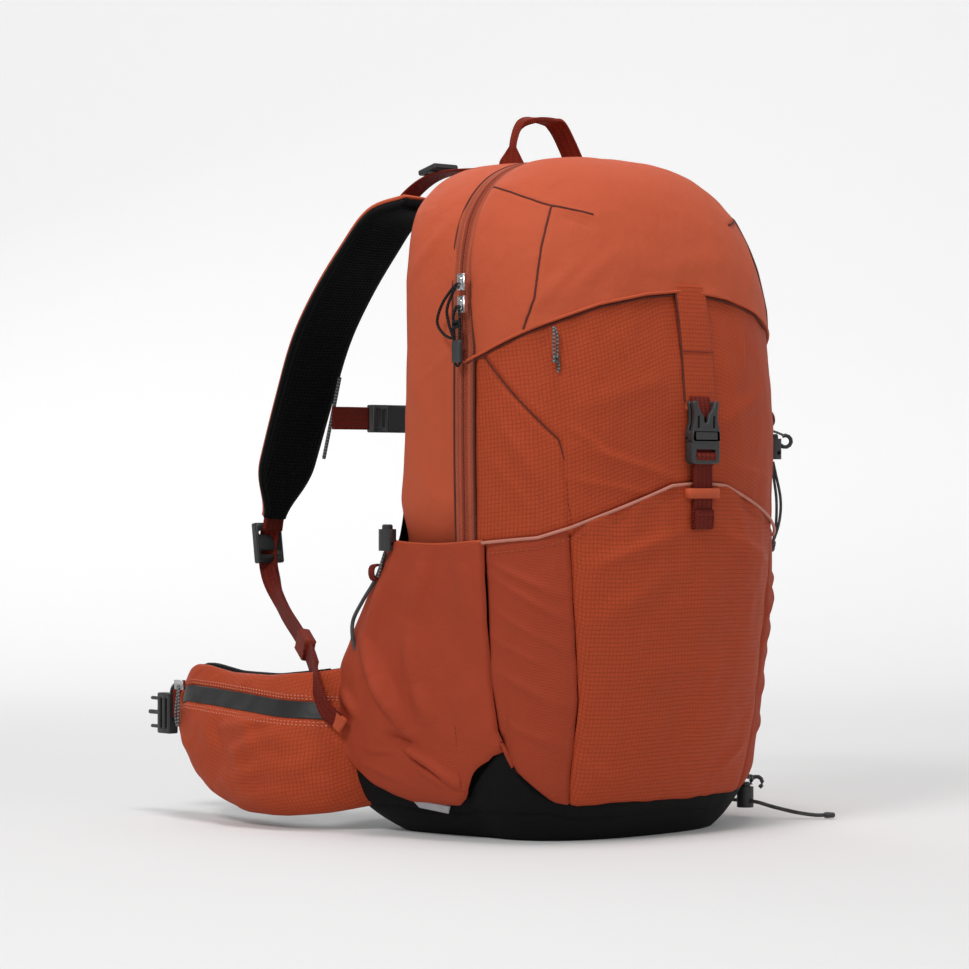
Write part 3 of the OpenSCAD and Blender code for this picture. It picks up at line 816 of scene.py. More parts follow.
def back_pad(name, x0, x1, z0, z1, depth, ribs):
    """A crowned pad on the back's curve, crossed by sewn channels."""
    rows, cols = 90, 40
    u = np.linspace(0, 1, cols)[None, :]
    v = np.linspace(0, 1, rows)[:, None]
    r = 1 - np.maximum(np.abs(2 * u - 1) ** 6, np.abs(2 * v - 1) ** 14)
    x = x0 + (x1 - x0) * u + 0 * v
    z = z0 + (z1 - z0) * v + 0 * u
    channel = np.abs(np.sin(math.pi * ribs * v)) ** 0.45 if ribs else np.ones_like(v)
    crown = depth * np.power(np.clip(r, 0, 1), 0.35) * (0.55 + 0.45 * channel)
    p = np.stack([x, bag_back_y(x, z) + 0.0004 + crown, z], -1)
    return grid_mesh(name, p, "pack", M_MESH, 0.0)


def bag_back_y(x, z):
    """Depth of the back surface over a point (x, z) of the back."""
    w = HALF_W * smooth_table(z, WIDTH)
    k = np.clip(np.abs(x) / (w * 1.12), 0, 0.999)
    return smooth_table(z, BACK) * np.power(1 - k ** 6, 1 / 6)


def back_pads():
    pads = [back_pad("back_pad_left", -.075, -.020, .185, .445, .0062, 6),
            back_pad("back_pad_right", .020, .075, .185, .445, .0062, 6),
            back_pad("lumbar_pad_cover", -.128, .128, .066, .158, .0066, 1)]
    for pad in pads:
        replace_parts(pad, "lumbar_pad")


# ------------------------------------------------------------------ webbing, padding and cords
def catmull(points, steps):
    """A smooth curve through given points, with steps stretches between each two."""
    pts = [np.array(p, float) for p in points]
    out = []
    for i in range(len(pts) - 1):
        a, b, c, d = pts[max(i - 1, 0)], pts[i], pts[i + 1], pts[min(i + 2, len(pts) - 1)]
        for k in range(steps):
            t = k / steps
            out.append(0.5 * (2 * b + (c - a) * t + (2 * a - 5 * b + 4 * c - d) * t * t
                              + (3 * b - a - 3 * c + d) * t ** 3))
    return np.array(out + [pts[-1]])


def resample(path, spacing):
    """The same line with points at an even spacing."""
    path = np.asarray(path, float)
    run = np.concatenate([[0], np.cumsum(np.linalg.norm(np.diff(path, axis=0), axis=1))])
    count = max(int(round(run[-1] / spacing)), 2) + 1
    s = np.linspace(0, run[-1], count)
    return np.stack([np.interp(s, run, path[:, k]) for k in range(3)], 1)


def frames(path, wide):
    """Unit vectors along, across and out of a band whose width lies along wide."""
    wide = np.asarray(wide, float)
    wide = np.broadcast_to(wide, path.shape) if wide.ndim == 1 else wide
    along = unit(np.gradient(path, axis=0))
    across = unit(wide - np.sum(wide * along, 1, keepdims=True) * along)
    return along, across, np.cross(along, across)


def swept(name, path, across, out, profile, body, mat, tube=False):
    """A closed profile, listed as (across, out) pairs or one list per ring, swept along a path."""
    rings = len(path)
    profile = np.asarray(profile, float)
    if profile.ndim == 2:
        profile = np.broadcast_to(profile, (rings,) + profile.shape)
    n = profile.shape[1]
    pts = path[:, None] + profile[..., :1] * across[:, None] + profile[..., 1:] * out[:, None]
    run = np.concatenate([[0], np.cumsum(np.linalg.norm(np.diff(path, axis=0), axis=1))])
    girth = np.concatenate([[0], np.cumsum(np.linalg.norm(np.diff(profile[0], axis=0), axis=1))])
    u = girth if tube else profile[..., 0]
    uv = np.stack([np.broadcast_to(u, (rings, n)), np.broadcast_to(run[:, None], (rings, n))], -1)
    faces = [(i * n + j, i * n + (j + 1) % n, (i + 1) * n + (j + 1) % n, (i + 1) * n + j)
             for i in range(rings - 1) for j in range(n)]
    faces += [tuple(range(n))[::-1], tuple(range((rings - 1) * n, rings * n))]
    return new_object(name, pts.reshape(-1, 3), faces, body, mat, uv.reshape(-1, 2))


def web_profile(w, t):
    """Section of flat webbing: parallel faces with rounded, slightly thicker selvedges."""
    h, e = w / 2, t / 2
    top = [(-h, 0), (-h * .985, e * .8), (-h * .93, e * 1.12), (-h * .82, e), (0, e), (h * .82, e),
           (h * .93, e * 1.12), (h * .985, e * .8), (h, 0)]
    return top[::-1] + [(x, -y) for x, y in top[1:-1]]


def strap_web(name, points, wide, w, t, body, mat=None):
    """Flat webbing of width w and thickness t along a smooth line of points."""
    path = resample(catmull(points, 6), 0.0022)
    _, across, out = frames(path, wide)
    return swept(name, path, across, out, web_profile(w, t), body, mat or M_WEB)


def zip_strip(name, path, normal, across, offset, width, height, mat):
    """A slightly domed strip laid beside a zip's middle line."""
    prof = [(offset - width / 2, 0), (offset - width * .42, height), (offset, height * 1.15),
            (offset + width * .42, height), (offset + width / 2, 0), (offset + width / 2, -.0006),
            (offset - width / 2, -.0006)]
    return swept(name, path, across, normal, prof[::-1], "pack", mat)


def main_zip():
    """Two tapes and a reversed coil up the left side, over the top and down the right side."""
    z = 0.205 + (BAG_H - 3e-5 - 0.205) * np.sin(np.linspace(0, 1, 260) * math.pi / 2)
    lift, step = 0.0012, 0.5
    left = bag(zip_angle(z), z, lift)
    side = bag(zip_angle(z) + step, z, lift) - bag(zip_angle(z) - step, z, lift)
    path = np.concatenate([left, left[::-1][1:] * flipped(-1)])
    across = np.concatenate([side, side[::-1][1:]])
    across[np.abs(path[:, 0]) < 0.05] = np.array([0, -1, 0])
    across[:, 0] *= np.where(np.arange(len(path)) < len(left), 1, -1)
    _, across, normal = frames(path, unit(across))
    normal *= np.sign(np.sum(normal * (path - np.array([0, 0.01, 0.2])), 1, keepdims=True))
    tape = zip_strip("zip_tape_rear", path, normal, across, -0.0052, 0.0086, 0.0007, M_TAPE)
    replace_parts(tape, "main_zip")
    # The parting line, the two edge lines and the wide sheet beneath the tapes are painted shade: dark strips
    # where the zip's gap and its seams fall into shadow.
    for name, offset, width, height, mat in (
            ("tape_front", 0.0052, 0.0086, 0.0007, M_TAPE), ("coil_rear", -0.0016, 0.0022, 0.0010,
                                                             M_TAPE_RIB),
            ("coil_front", 0.0016, 0.0022, 0.0010, M_TAPE_RIB), ("parting", 0.0, 0.0009, 0.0009, M_SEAM_SHADE),
            ("edge_rear", -0.0099, 0.0014, 0.0010, M_SEAM_SHADE), ("edge_front", 0.0099, 0.0014, 0.0010, M_SEAM_SHADE),
            ("backing", 0.0, 0.0205, -0.0002, M_SEAM_SHADE)):
        zip_strip("zip_%s" % name, path, normal, across, offset, width, height, mat)


def seam_tube(name, pts, radius, body, mat):
    """A round piping or thread along a line of points."""
    path = resample(pts, max(radius * 1.6, 0.0015))
    run = path[-1] - path[0]
    level = abs(run[2]) < 0.6 * np.linalg.norm(run)
    _, across, out = frames(path, (0, 0, 1) if level else (1, 0, 0))
    ring = [(radius * math.cos(k * math.pi / 4), radius * math.sin(k * math.pi / 4)) for k in range(8)]
    return swept(name, path, across, out, ring, body, mat, tube=True)


def stitches(name, pts, body, mat, pitch=0.0042, length=0.0028, radius=0.00035):
    """Short raised threads in a row along a line."""
    path = resample(pts, pitch)
    along = unit(np.gradient(path, axis=0))
    verts, faces = [], []
    for p, t in zip(path, along):
        ref = np.array([0, 0, 1.0]) if abs(t[2]) < 0.9 else np.array([1.0, 0, 0])
        s = unit(np.cross(t, ref))
        n = np.cross(t, s)
        k = len(verts)
        verts.append(p - t * length / 2)
        for f in (-0.25, 0.25):
            for c in range(6):
                ang = c * math.pi / 3
                verts.append(p + t * length * f + (s * math.cos(ang) + n * math.sin(ang)) * radius)
        verts.append(p + t * length / 2)
        for c in range(6):
            d = (c + 1) % 6
            faces += [(k, k + 1 + d, k + 1 + c), (k + 1 + c, k + 1 + d, k + 7 + d, k + 7 + c),
                      (k + 7 + c, k + 7 + d, k + 13)]
    return new_object(name, verts, faces, body, mat)


def line_on_bag(points, out, count=80):
    """Points on the bag along a line set by (angle, z) points."""
    return bag(*along_line(points, count), out)


def hems():
    """Piping and edge bindings along the pockets' mouths and the lid's hem."""
    a = np.linspace(195, 345, 200)
    seam_tube("stash_hem_piping", bag(a, table(a, STASH) + 0.0006, 0.0042), 0.0012, "pack",
              M_PIPING)
    a = np.linspace(186.5, 353.5, 240)
    seam_tube("lid_hem_edge", bag(a, table(a, HEM) + 0.0004, 0.0030), 0.0011, "pack", M_ORANGE)
    a = np.linspace(136, 195, 90)
    for side, name in SIDES:
        pts = bag(a, pocket_top(a) + 0.0004, 0.0030) * flipped(side)
        seam_tube("bottle_hem_%s" % name, pts, 0.0015, "pack", M_ORANGE)


def seams():
    """Visible rows of thread and the shaded lines of the sewn joints."""
    # Painted shade: thin dark tubes along the front's seams and under the lid's hem, where the sewn joints
    # fall into shade.
    for side, name in SIDES:
        line = line_on_bag(FRONT_SEAM[:4], 0.0014, 120) * flipped(side)
        seam_tube("front_seam_line_%s" % name, line, 0.00055, "pack", M_SEAM_SHADE)
    a = np.linspace(188, 352, 240)
    seam_tube("lid_hem_shade", bag(a, table(a, HEM) - 0.0014, 0.0016), 0.0007, "pack", M_SEAM_SHADE)
    for side, name in SIDES:
        m = flipped(side)
        line = line_on_bag([(225.2, .262), (225.6, .245), (226.8, .230)], 0.0016)
        stitches("front_stitch_%s" % name, line * m, "pack", M_THREAD_DARK, 0.0036, 0.0022)
        z = np.linspace(.235, .455, 100)
        for tag, turn, out in (("rear", -4.9, 0.0012), ("front", 5.0, 0.0014)):
            stitches("zip_stitch_%s_%s" % (tag, name), bag(zip_angle(z) + turn, z, out) * m, "pack",
                     M_THREAD, 0.0036, 0.0026, 0.00028)
        a = np.linspace(140, 190, 60)
        stitches("bottle_stitch_%s" % name, bag(a, pocket_top(a) - 0.008, 0.0036) * m, "pack",
                 M_THREAD, 0.0038, 0.0026, 0.00028)
    a = np.linspace(198, 342, 200)
    stitches("stash_stitch", bag(a, table(a, STASH) - 0.007, 0.0044), "pack", M_THREAD,
             0.0038, 0.0026, 0.00028)


STRAP = [(-.082, .103, .470), (-.088, .132, .462), (-.090, .160, .436), (-.090, .190, .405),
         (-.090, .216, .370), (-.090, .237, .325), (-.092, .256, .274), (-.094, .270, .232)]
STRAP_W = 0.052
STRAP_T = 0.011


def strap_profile(w, t, bulge):
    """Padded section: flat faces with full round edges."""
    pts = []
    for k in range(24):
        ang = 2 * math.pi * k / 24
        c, s = math.cos(ang), math.sin(ang)
        r = (abs(c) ** 5 + abs(s) ** 3.2) ** (-1 / 4)
        pts.append((w / 2 * max(-1, min(1, r * c)), t / 2 * max(-1, min(1, r * s)) * bulge))
    return pts


def shoulder_straps():
    """Mesh-faced padded straps with orange outer edges, bound rims and a webbing ladder."""
    for side, name in SIDES:
        m = flipped(side)
        path = resample(catmull(STRAP, 8), 0.004)
        s = np.linspace(0, 1, len(path))
        width = STRAP_W * (0.94 + 0.10 * np.sin(np.pi * s) - 0.60 * ease(s, .84, 1) ** 1.4)
        profile = np.array([strap_profile(w, STRAP_T, 1 - 0.25 * float(ease(t, .9, 1)))
                            for w, t in zip(width, s)])
        _, across, out = (-axis for axis in frames(path, (1, 0, 0)))
        pad = swept("shoulder_pad_%s" % name, path * m, across * m, out * m, profile, "harness",
                    M_MESH)
        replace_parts(pad, "shoulder_strap_%s" % name)
        cover_path = path + out * (STRAP_T / 2 - 0.0004)
        skin = [[(-w * .5, -.002), (-w * .47, .0011), (0, .0017), (w * .47, .0011), (w * .5, -.002)]
                for w in width]
        swept("strap_cover_%s" % name, cover_path * m, across * m, out * m, skin, "harness",
              M_ORANGE)
        for edge in (-1, 1):
            rim = path + across * (width * 0.5)[:, None] * edge
            seam_tube("strap_rim_%s_%s" % (name, "in" if edge > 0 else "out"), rim * m, 0.0021, "harness",
                      M_BLACK)
        k0, k1 = int(len(path) * .28), int(len(path) * .72)
        web_path = cover_path[k0:k1] + out[k0:k1] * 0.0028
        swept("strap_daisy_%s" % name, web_path * m, across[k0:k1] * m, out[k0:k1] * m,
              web_profile(0.018, 0.0016), "harness", M_WEB)


TAIL = [(-.095, .2735, .226), (-.0955, .2765, .208), (-.098, .272, .192), (-.104, .258, .178),
        (-.116, .230, .160), (-.130, .196, .145), (-.145, .165, .133), (-.158, .142, .122),
        (-.1672, .126, .106), (-.1690, .115, .092), (-.1640, .106, .083)]


def twisted_web(name, points, first, last, w, t, body, mat=None):
    """Webbing whose width turns from one direction to another along its run."""
    path = resample(catmull(points, 6), 0.003)
    k = np.linspace(0, 1, len(path))[:, None]
    turn = ease(k, .06, .34)
    wide = np.array(first, float) * (1 - turn) + np.array(last, float) * turn
    _, across, out = frames(path, wide)
    return swept(name, path, across, out, web_profile(w, t), body, mat or M_WEB)


def strap_tails():
    """Doubled adjuster webbing from each ladder lock, over the hip wing, to the bottom of the side."""
    for side, name in SIDES:
        pts = [(x * side, y, z) for x, y, z in TAIL]
        flat, turned = (0.80 * side, -0.55, 0.25), (-0.12 * side, -0.42, 0.66)
        obj = twisted_web("adjuster_webbing_%s" % name, pts, flat, turned, 0.0150, 0.0020, "harness")
        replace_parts(obj, "strap_webbing_%s" % name)
        ends = dict(start=(-.158 * side, .142, .122), end=(-.100 * side, .268, .186))
        bend(obj, "pack", "harness", **ends)
        lower = [(x * side, y - .0036, z - .0022) for x, y, z in TAIL[2:8]]
        second = twisted_web("adjuster_tail_%s" % name, lower, turned, turned, 0.0130, 0.0020, "harness")
        bend(second, "pack", "harness", **ends)
        k = [np.array(pts[q]) for q in (5, 6)]
        keeper = [k[0] * (1 - t) + k[1] * t + np.array([0, -.0018, -.0010]) for t in (.30, .5, .75, 1.0)]
        sleeve = twisted_web("webbing_keeper_%s" % name, keeper, turned, turned, 0.0165, 0.0085, "harness",
                             M_HANDLE)
        bend(sleeve, "pack", "harness", **ends)
        tab = [(-.1655 * side, .1100, .0880), (-.1640 * side, .1060, .0830), (-.1610 * side, .1020, .0790)]
        strap_web("tail_anchor_%s" % name, tab, turned, 0.0130, 0.0026, "pack", M_ORANGE)
        top = [(-.0930 * side, .2660, .2460), (-.0942 * side, .2695, .2350), (-.0950 * side, .2715, .2220)]
        strap_web("strap_end_web_%s" % name, top, (1, 0, 0), 0.0185, 0.0034, "harness")


def load_lifters():
    """Webbing from the bag's top edge to each shoulder strap."""
    for side, name in SIDES:
        pts = [(-.060 * side, .062, .4955), (-.066 * side, .084, .4955), (-.070 * side, .106, .492),
               (-.074 * side, .124, .482), (-.079 * side, .138, .466), (-.082 * side, .146, .456)]
        obj = strap_web("load_lifter_%s" % name, pts, (1, 0, 0), 0.018, 0.0017, "pack")
        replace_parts(obj, "load_lifters")
        bend(obj, "pack", "harness", start=pts[2], end=pts[-1])


def carry_handle():
    """Webbing loop, folded narrow on its left leg and flat across the top and down the right."""
    pts = [(-.0355, .055, .4975), (-.0350, .055, .506), (-.0330, .055, .520), (-.0270, .055, .5315),
           (-.0140, .055, .5362), (.0020, .055, .5362), (.0120, .055, .5330), (.0220, .055, .5200),
           (.0350, .055, .4985)]
    path = resample(catmull(pts, 8), 0.0015)
    s = np.linspace(0, 1, len(path))
    _, across, out = frames(path, (-.743, .669, 0))
    width = np.interp(s, (0, .05, .14, .34, .52, .60, 1), (.021, .018, .0056, .0058, .0120, .0145, .0150))
    thick = np.interp(s, (0, .14, .34, .60, 1), (.0026, .0048, .0044, .0026, .0026))
    profile = np.array([web_profile(w, t) for w, t in zip(width, thick)])
    obj = swept("carry_handle_webbing", path, across, out, profile, "handle", M_HANDLE)
    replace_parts(obj, "carry_handle")


def placket_and_front_web():
    """Buckle strip with its bar stitch, front webbing with a folded end, and the stash loop."""
    z = np.linspace(.312, .402, 60)[:, None]
    a = np.linspace(-1, 1, 16)[None, :]
    half = 6.4
    p = bag(271 + a * half, z, 0.0030 + 0.0010 * (1 - a ** 6))
    obj = grid_mesh("front_placket_fabric", p, "pack", M_RIPSTOP, 0.0024)
    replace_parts(obj, "front_placket")
    bar = bag(np.linspace(264.8, 277, 20), .354, 0.0042)
    stitches("placket_bar_stitch", bar, "pack", M_THREAD_DARK, 0.0016, 0.0016, 0.0005)
    # Painted shade: a thin dark tube down the placket's left edge, where the edge casts shade.
    seam_tube("placket_edge", bag(264.4, np.linspace(.318, .396, 60), 0.0030), 0.0007, "pack",
              M_SEAM_SHADE)
    y = -FRONT_D - 0.0065
    web = strap_web("front_webbing_strap", [(0, y, .286), (0, y, .262), (0, y, .244), (0, y + .0008, .226)],
                    (1, 0, 0), 0.0195, 0.0018, "front_plug")
    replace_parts(web, "front_webbing")
    strap_web("front_webbing_fold", [(0, y - .0018, .240), (0, y - .0019, .233), (0, y - .0008, .2262)],
              (1, 0, 0), 0.0195, 0.0018, "front_plug")
    stitches("front_webbing_stitch", np.array([(-.008, y - .0030, .2365), (.008, y - .0030, .2365)]),
             "front_plug", M_THREAD_DARK, 0.0022, 0.0020, 0.0005)
    strap_web("placket_webbing", [(0, -.1085, .322), (0, -.1105, .314), (0, -.1112, .306)], (1, 0, 0),
              0.0195, 0.0018, "pack")
    a = np.linspace(0, 2 * math.pi, 41)
    ring = np.stack([0.0150 * np.sign(np.cos(a)) * np.abs(np.cos(a)) ** .5,
                     y + 0.0002 + 0.0042 * np.sign(np.sin(a)) * np.abs(np.sin(a)) ** .6, 0 * a + .252], 1)[:-1]
    loop = band_ring("stash_loop_band", ring, 0.0075, 0.0013, "pack", M_ORANGE)
    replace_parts(loop, "stash_loop")


def band_ring(name, ring, height, thick, body, mat):
    """A closed band of fabric standing along Z."""
    n = len(ring)
    centre = ring.mean(0)
    verts, faces = [], []
    for p in ring:
        d = p - centre
        d /= np.linalg.norm(d)
        for o, h in ((0, -.5), (thick, -.42), (thick, .42), (0, .5), (-0.0002, 0)):
            verts.append(p + d * o + np.array([0, 0, h * height]))
    for i in range(n):
        for j in range(5):
            k, l = (i + 1) % n, (j + 1) % 5
            faces.append((i * 5 + j, i * 5 + l, k * 5 + l, k * 5 + j))
    uv = np.array([[v[2], v[0]] for v in verts])
    return new_object(name, verts, faces, body, mat, uv)


# ------------------------------------------------------------------ hip belt
WING_T = 0.016
BELT_PLAN = [(-.126, .108), (-.141, .124), (-.153, .141), (-.1585, .158), (-.1590, .180), (-.1580, .220),
             (-.1565, .260), (-.1550, .2935)]
TOP_EDGE = [(0, .1240), (.20, .1175), (.42, .1130), (.66, .1130), (.84, .1175), (.93, .1170), (.975, .110),
            (1, .098)]
LOW_EDGE = [(0, .020), (.15, .014), (.34, .0095), (.52, .0100), (.68, .0180), (.82, .0330), (.92, .0500),
            (.975, .066), (1, .084)]
ZIP_LINE = [(.10, .0890), (.30, .0900), (.50, .0925), (.75, .0950), (.90, .0960), (.955, .0935)]


def belt_plan(v):
    """The wing's own plan curve and its outward side, for v from the pack to the tip."""
    path = resample(catmull([(x, y, 0) for x, y in BELT_PLAN], 10), 0.001)
    s = np.linspace(0, 1, len(path))
    here = np.stack([np.interp(v, s, path[:, k]) for k in (0, 1)], -1)
    run = np.gradient(path[:, :2], axis=0)
    run /= np.linalg.norm(run, axis=1)[:, None]
    side = np.stack([np.interp(v, s, -run[:, 1]), np.interp(v, s, run[:, 0])], -1)
    return here, side


def bend_wing(obj, side, name):
    """Takes a piece that crosses the wing's root, where the wing swings, off its body and leaves it fixed in
    place.
    """
    bend(obj, "pack", "wing_%s" % name, start=(-.150 * side, .132, .066), end=(-.158 * side, .166, .066))


def smooth_edge(v, edge):
    """Heights of a wing's edge with its corners rounded off."""
    soft = np.linspace(0, 1, 201)
    raw = table(soft, edge)
    wide = np.convolve(np.pad(raw, 6, mode="edge"), np.ones(13) / 13, "valid")
    return np.interp(v, soft, wide)


def wing_pad(name, side):
    """Padded mesh wing with a bound rim; its shape is a crowned slab."""
    rows, cols = 36, 90
    v = np.linspace(.17, 1, cols)
    u = np.linspace(0, 1, rows)[:, None]
    low, top = smooth_edge(v, LOW_EDGE) + .002, smooth_edge(v, TOP_EDGE) - .001
    here, out = belt_plan(v)
    z = low + (top - low) * u
    rim = np.minimum(np.minimum(u, 1 - u) * 4.5, (1 - v) * 9 + .03)
    half = .0012 + (WING_T / 2 - .0016) * np.clip(rim, 0, 1) ** .5
    quilt = 1 - .22 * np.exp(-((u * 3 % 1 - .5) / .06) ** 2) * np.clip(rim, 0, 1)

    def skin(sign):
        x = here[None, :, 0] + sign * out[None, :, 0] * half * (quilt if sign < 0 else 1)
        y = here[None, :, 1] + sign * out[None, :, 1] * half
        return np.stack([x + 0 * u, y + 0 * u, z], -1)
    inner, outer = skin(-1), skin(1)
    n = rows * cols
    faces = []
    for i in range(rows - 1):
        for j in range(cols - 1):
            k = i * cols + j
            faces.append((k, k + 1, k + cols + 1, k + cols))
            faces.append((n + k, n + k + cols, n + k + cols + 1, n + k + 1))
    edge = (list(range(cols)) + [i * cols + cols - 1 for i in range(1, rows)]
            + [(rows - 1) * cols + j for j in range(cols - 2, -1, -1)]
            + [i * cols for i in range(rows - 2, 0, -1)])
    for p, q in zip(edge, edge[1:] + edge[:1]):
        faces.append((p, n + p, n + q, q))
    pts = np.concatenate([inner.reshape(-1, 3), outer.reshape(-1, 3)]) * flipped(side)
    uv = np.concatenate([np.stack([inner[..., 1], z], -1).reshape(-1, 2)] * 2)
    obj = new_object("wing_pad_%s" % name, pts, faces, "wing_%s" % name, M_MESH, uv)
    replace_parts(obj, "belt_wing_%s" % name)
    bend_wing(obj, side, name)
    edges = [np.stack([here[:, 0], here[:, 1], height], 1) for height in (low, top)]
    ring = np.concatenate([edges[0], edges[1][::-1]])
    rim = seam_tube("wing_rim_%s" % name, ring * flipped(side), .0030, "wing_%s" % name,
                    M_BLACK)
    bend_wing(rim, side, name)


def wing_pouch(name, side):
    """Slack zipped pouch that swells from the wing's outer face and hangs low in the middle."""
    rows, cols = 130, 220
    v = np.linspace(0, 1, cols)[None, :]
    u = np.linspace(0, 1, rows)[:, None]
    low, top = smooth_edge(v[0], LOW_EDGE)[None, :], smooth_edge(v[0], TOP_EDGE)[None, :]
    here, out = belt_plan(v[0])
    z = low + (top - low) * u
    swell = np.clip(np.sin(np.pi * np.clip(.04 + .96 * v, 0, 1) ** 1.25), 0, 1) ** .45
    belly = (np.sin(np.pi * np.clip(u, 0, 1) ** .60) ** .55) * swell
    depth = WING_T / 2 + .0006 + .0235 * belly * (1 - .40 * ease(u, .58, 1.0))
    band = (z - table(v, ZIP_LINE)) / .0072
    zone = np.exp(-np.clip(np.abs(band) - .75, 0, 9) ** 2 * 6)
    zone = zone * ease(v, .13, .16) * (1 - ease(v, .955, .975))
    flat = np.stack([here[None, :, 1] + 0 * u, z, 0 * z], -1)
    wrinkle = .0017 * noise_at(flat, 30, 90, (1, .6, 1)) + .0010 * noise_at(flat, 75, 91)
    for (y0, z0), (y1, z1), w, h in POUCH_FOLDS:
        wrinkle += crease(flat, np.array([y0, z0, 0]), np.array([y1, z1, 0]), w, h)
    depth = depth + 1.5 * wrinkle * np.clip(belly * 1.5, 0, 1) * (1 - .75 * zone) - .0020 * zone
    depth = np.maximum(depth, WING_T / 2 + .0004)
    m, body = flipped(side), "wing_%s" % name
    p = np.stack([here[None, :, 0] + out[None, :, 0] * depth, here[None, :, 1] + out[None, :, 1] * depth, z],
                 -1)
    obj = grid_mesh("pouch_%s_fabric" % name, p * m, body, M_RIPSTOP, 0.0012, flip=side < 0)
    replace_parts(obj, "belt_pocket_%s" % name)
    bend_wing(obj, side, name)
    j0, j1 = int(cols * .165), int(cols * .945)
    t = np.linspace(-1, 1, 13)[:, None]
    goal = table(v[0, j0:j1], ZIP_LINE)[None, :] + .0062 * t
    strip = np.zeros((13, j1 - j0, 3))
    for j in range(j0, j1):
        row = goal[:, j - j0]
        strip[:, j - j0, 0] = np.interp(row, z[:, j], p[:, j, 0])
        strip[:, j - j0, 1] = np.interp(row, z[:, j], p[:, j, 1])
        strip[:, j - j0, 2] = row
    lift = out[None, j0:j1]
    strip[..., :2] += lift * .0011
    tape = grid_mesh("pouch_%s_zip" % name, strip * m, body, M_ZIP_BLACK, 0.0011, flip=side < 0)
    bend_wing(tape, side, name)
    centre = strip[6].copy()
    centre[:, :2] += lift[0] * .0003
    coil_line = seam_tube("pouch_%s_coil" % name, centre * m, .0006, body, M_BLACK)
    bend_wing(coil_line, side, name)
    for gap, first, tag in ((-.0084, .13, "low_a"), (-.0106, .115, "low_b"), (.0084, .13, "high_a"),
                            (.0106, .115, "high_b")):
        line = []
        for j in range(int(cols * first), int(cols * .93)):
            zz = float(table(v[0, j], ZIP_LINE)) + gap
            x, y = np.interp(zz, z[:, j], p[:, j, 0]), np.interp(zz, z[:, j], p[:, j, 1])
            line.append((x + out[j, 0] * .0012, y + out[j, 1] * .0012, zz))
        row = stitches("pouch_%s_stitch_%s" % (name, tag), np.array(line) * m, body,
                       M_THREAD_PALE, .0034, .0020, .00050)
        bend_wing(row, side, name)
    rim = np.concatenate([p[0, 2:-2], p[-1, 2:-2][::-1]])
    pipe = seam_tube("pouch_%s_piping" % name, rim * m, .0012, body, M_BLACK)
    bend_wing(pipe, side, name)


POUCH_FOLDS = [((.165, .082), (.215, .074), .0050, .0022), ((.158, .070), (.200, .056), .0060, .0020),
               ((.270, .112), (.288, .094), .0040, .0020), ((.262, .114), (.280, .104), .0030, -.0016),
               ((.150, .030), (.190, .020), .0050, .0018), ((.160, .046), (.205, .034), .0060, .0016),
               ((.195, .112), (.215, .104), .0035, .0014), ((.236, .112), (.252, .106), .0030, .0012),
               ((.205, .030), (.250, .026), .0080, .0012), ((.255, .052), (.282, .066), .0060, .0014)]


def belt_tip(name, side):
    """Webbing from the wing's tip through the buckle half's slots, with a folded tail."""
    z = .086
    m, body = flipped(side), "wing_%s" % name
    for tag, thick, rows in (
            ("", .0018, [(-.1560, .286, z), (-.1590, .294, z), (-.1610, .301, z), (-.1605, .3070, z - .002),
                         (-.1565, .3085, z - .005)]),
            ("fold_a_", .0016, [(-.1650, .2925, z), (-.1670, .2950, z), (-.1668, .2985, z),
                                (-.1640, .3005, z)]),
            ("fold_b_", .0016, [(-.1640, .3005, z), (-.1665, .3030, z), (-.1660, .3070, z),
                                (-.1625, .3085, z)])):
        strap_web("belt_web_%s%s" % (tag, name), np.array(rows) * m, (0, 0, 1), .0225, thick, body)
    bar = [(-.1675, .2915, z + .0130), (-.1680, .2900, z), (-.1675, .2915, z - .0130)]
    seam_tube("belt_adjuster_bar_%s" % name, catmull(np.array(bar) * m, 6), .0012, body, M_CORD)
    half = [(-.1660, .2920, .0140), (-.1650, .3000, .0148), (-.1640, .3080, .0142), (-.1630, .3130, .0095)]
    ring = ([(x, y, z + h) for x, y, h in half] + [(-.1625, .3142, z)]
            + [(x, y, z - h) for x, y, h in half[::-1]])
    seam_tube("belt_adjuster_%s" % name, catmull(np.array(ring) * m, 6), .0017, body, M_PLASTIC)


# ------------------------------------------------------------------ hardware on the CAD nodes
def soften(node, width, mat, body):
    """A detailed copy of a moulded CAD piece, with the rounded edges that moulding gives."""
    mesh = bpy.data.objects[node].data.copy()
    mesh.materials.clear()
    mesh.materials.append(mat)
    bm = bmesh.new()
    bm.from_mesh(mesh)
    bmesh.ops.remove_doubles(bm, verts=bm.verts, dist=1e-6)
    bmesh.ops.dissolve_limit(bm, angle_limit=math.radians(1), verts=bm.verts, edges=bm.edges)
    sharp = [e for e in bm.edges if len(e.link_faces) == 2 and e.calc_face_angle(0) > math.radians(40)]
    bmesh.ops.bevel(bm, geom=sharp, offset=width, segments=3, affect="EDGES", clamp_overlap=True)
    bmesh.ops.triangulate(bm, faces=[f for f in bm.faces if len(f.verts) > 4])
    bm.to_mesh(mesh)
    bm.free()
    mesh.polygons.foreach_set("use_smooth", [True] * len(mesh.polygons))
    mesh.set_sharp_from_angle(angle=math.radians(35))
    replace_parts(place(node + "_moulded", mesh, body), node)


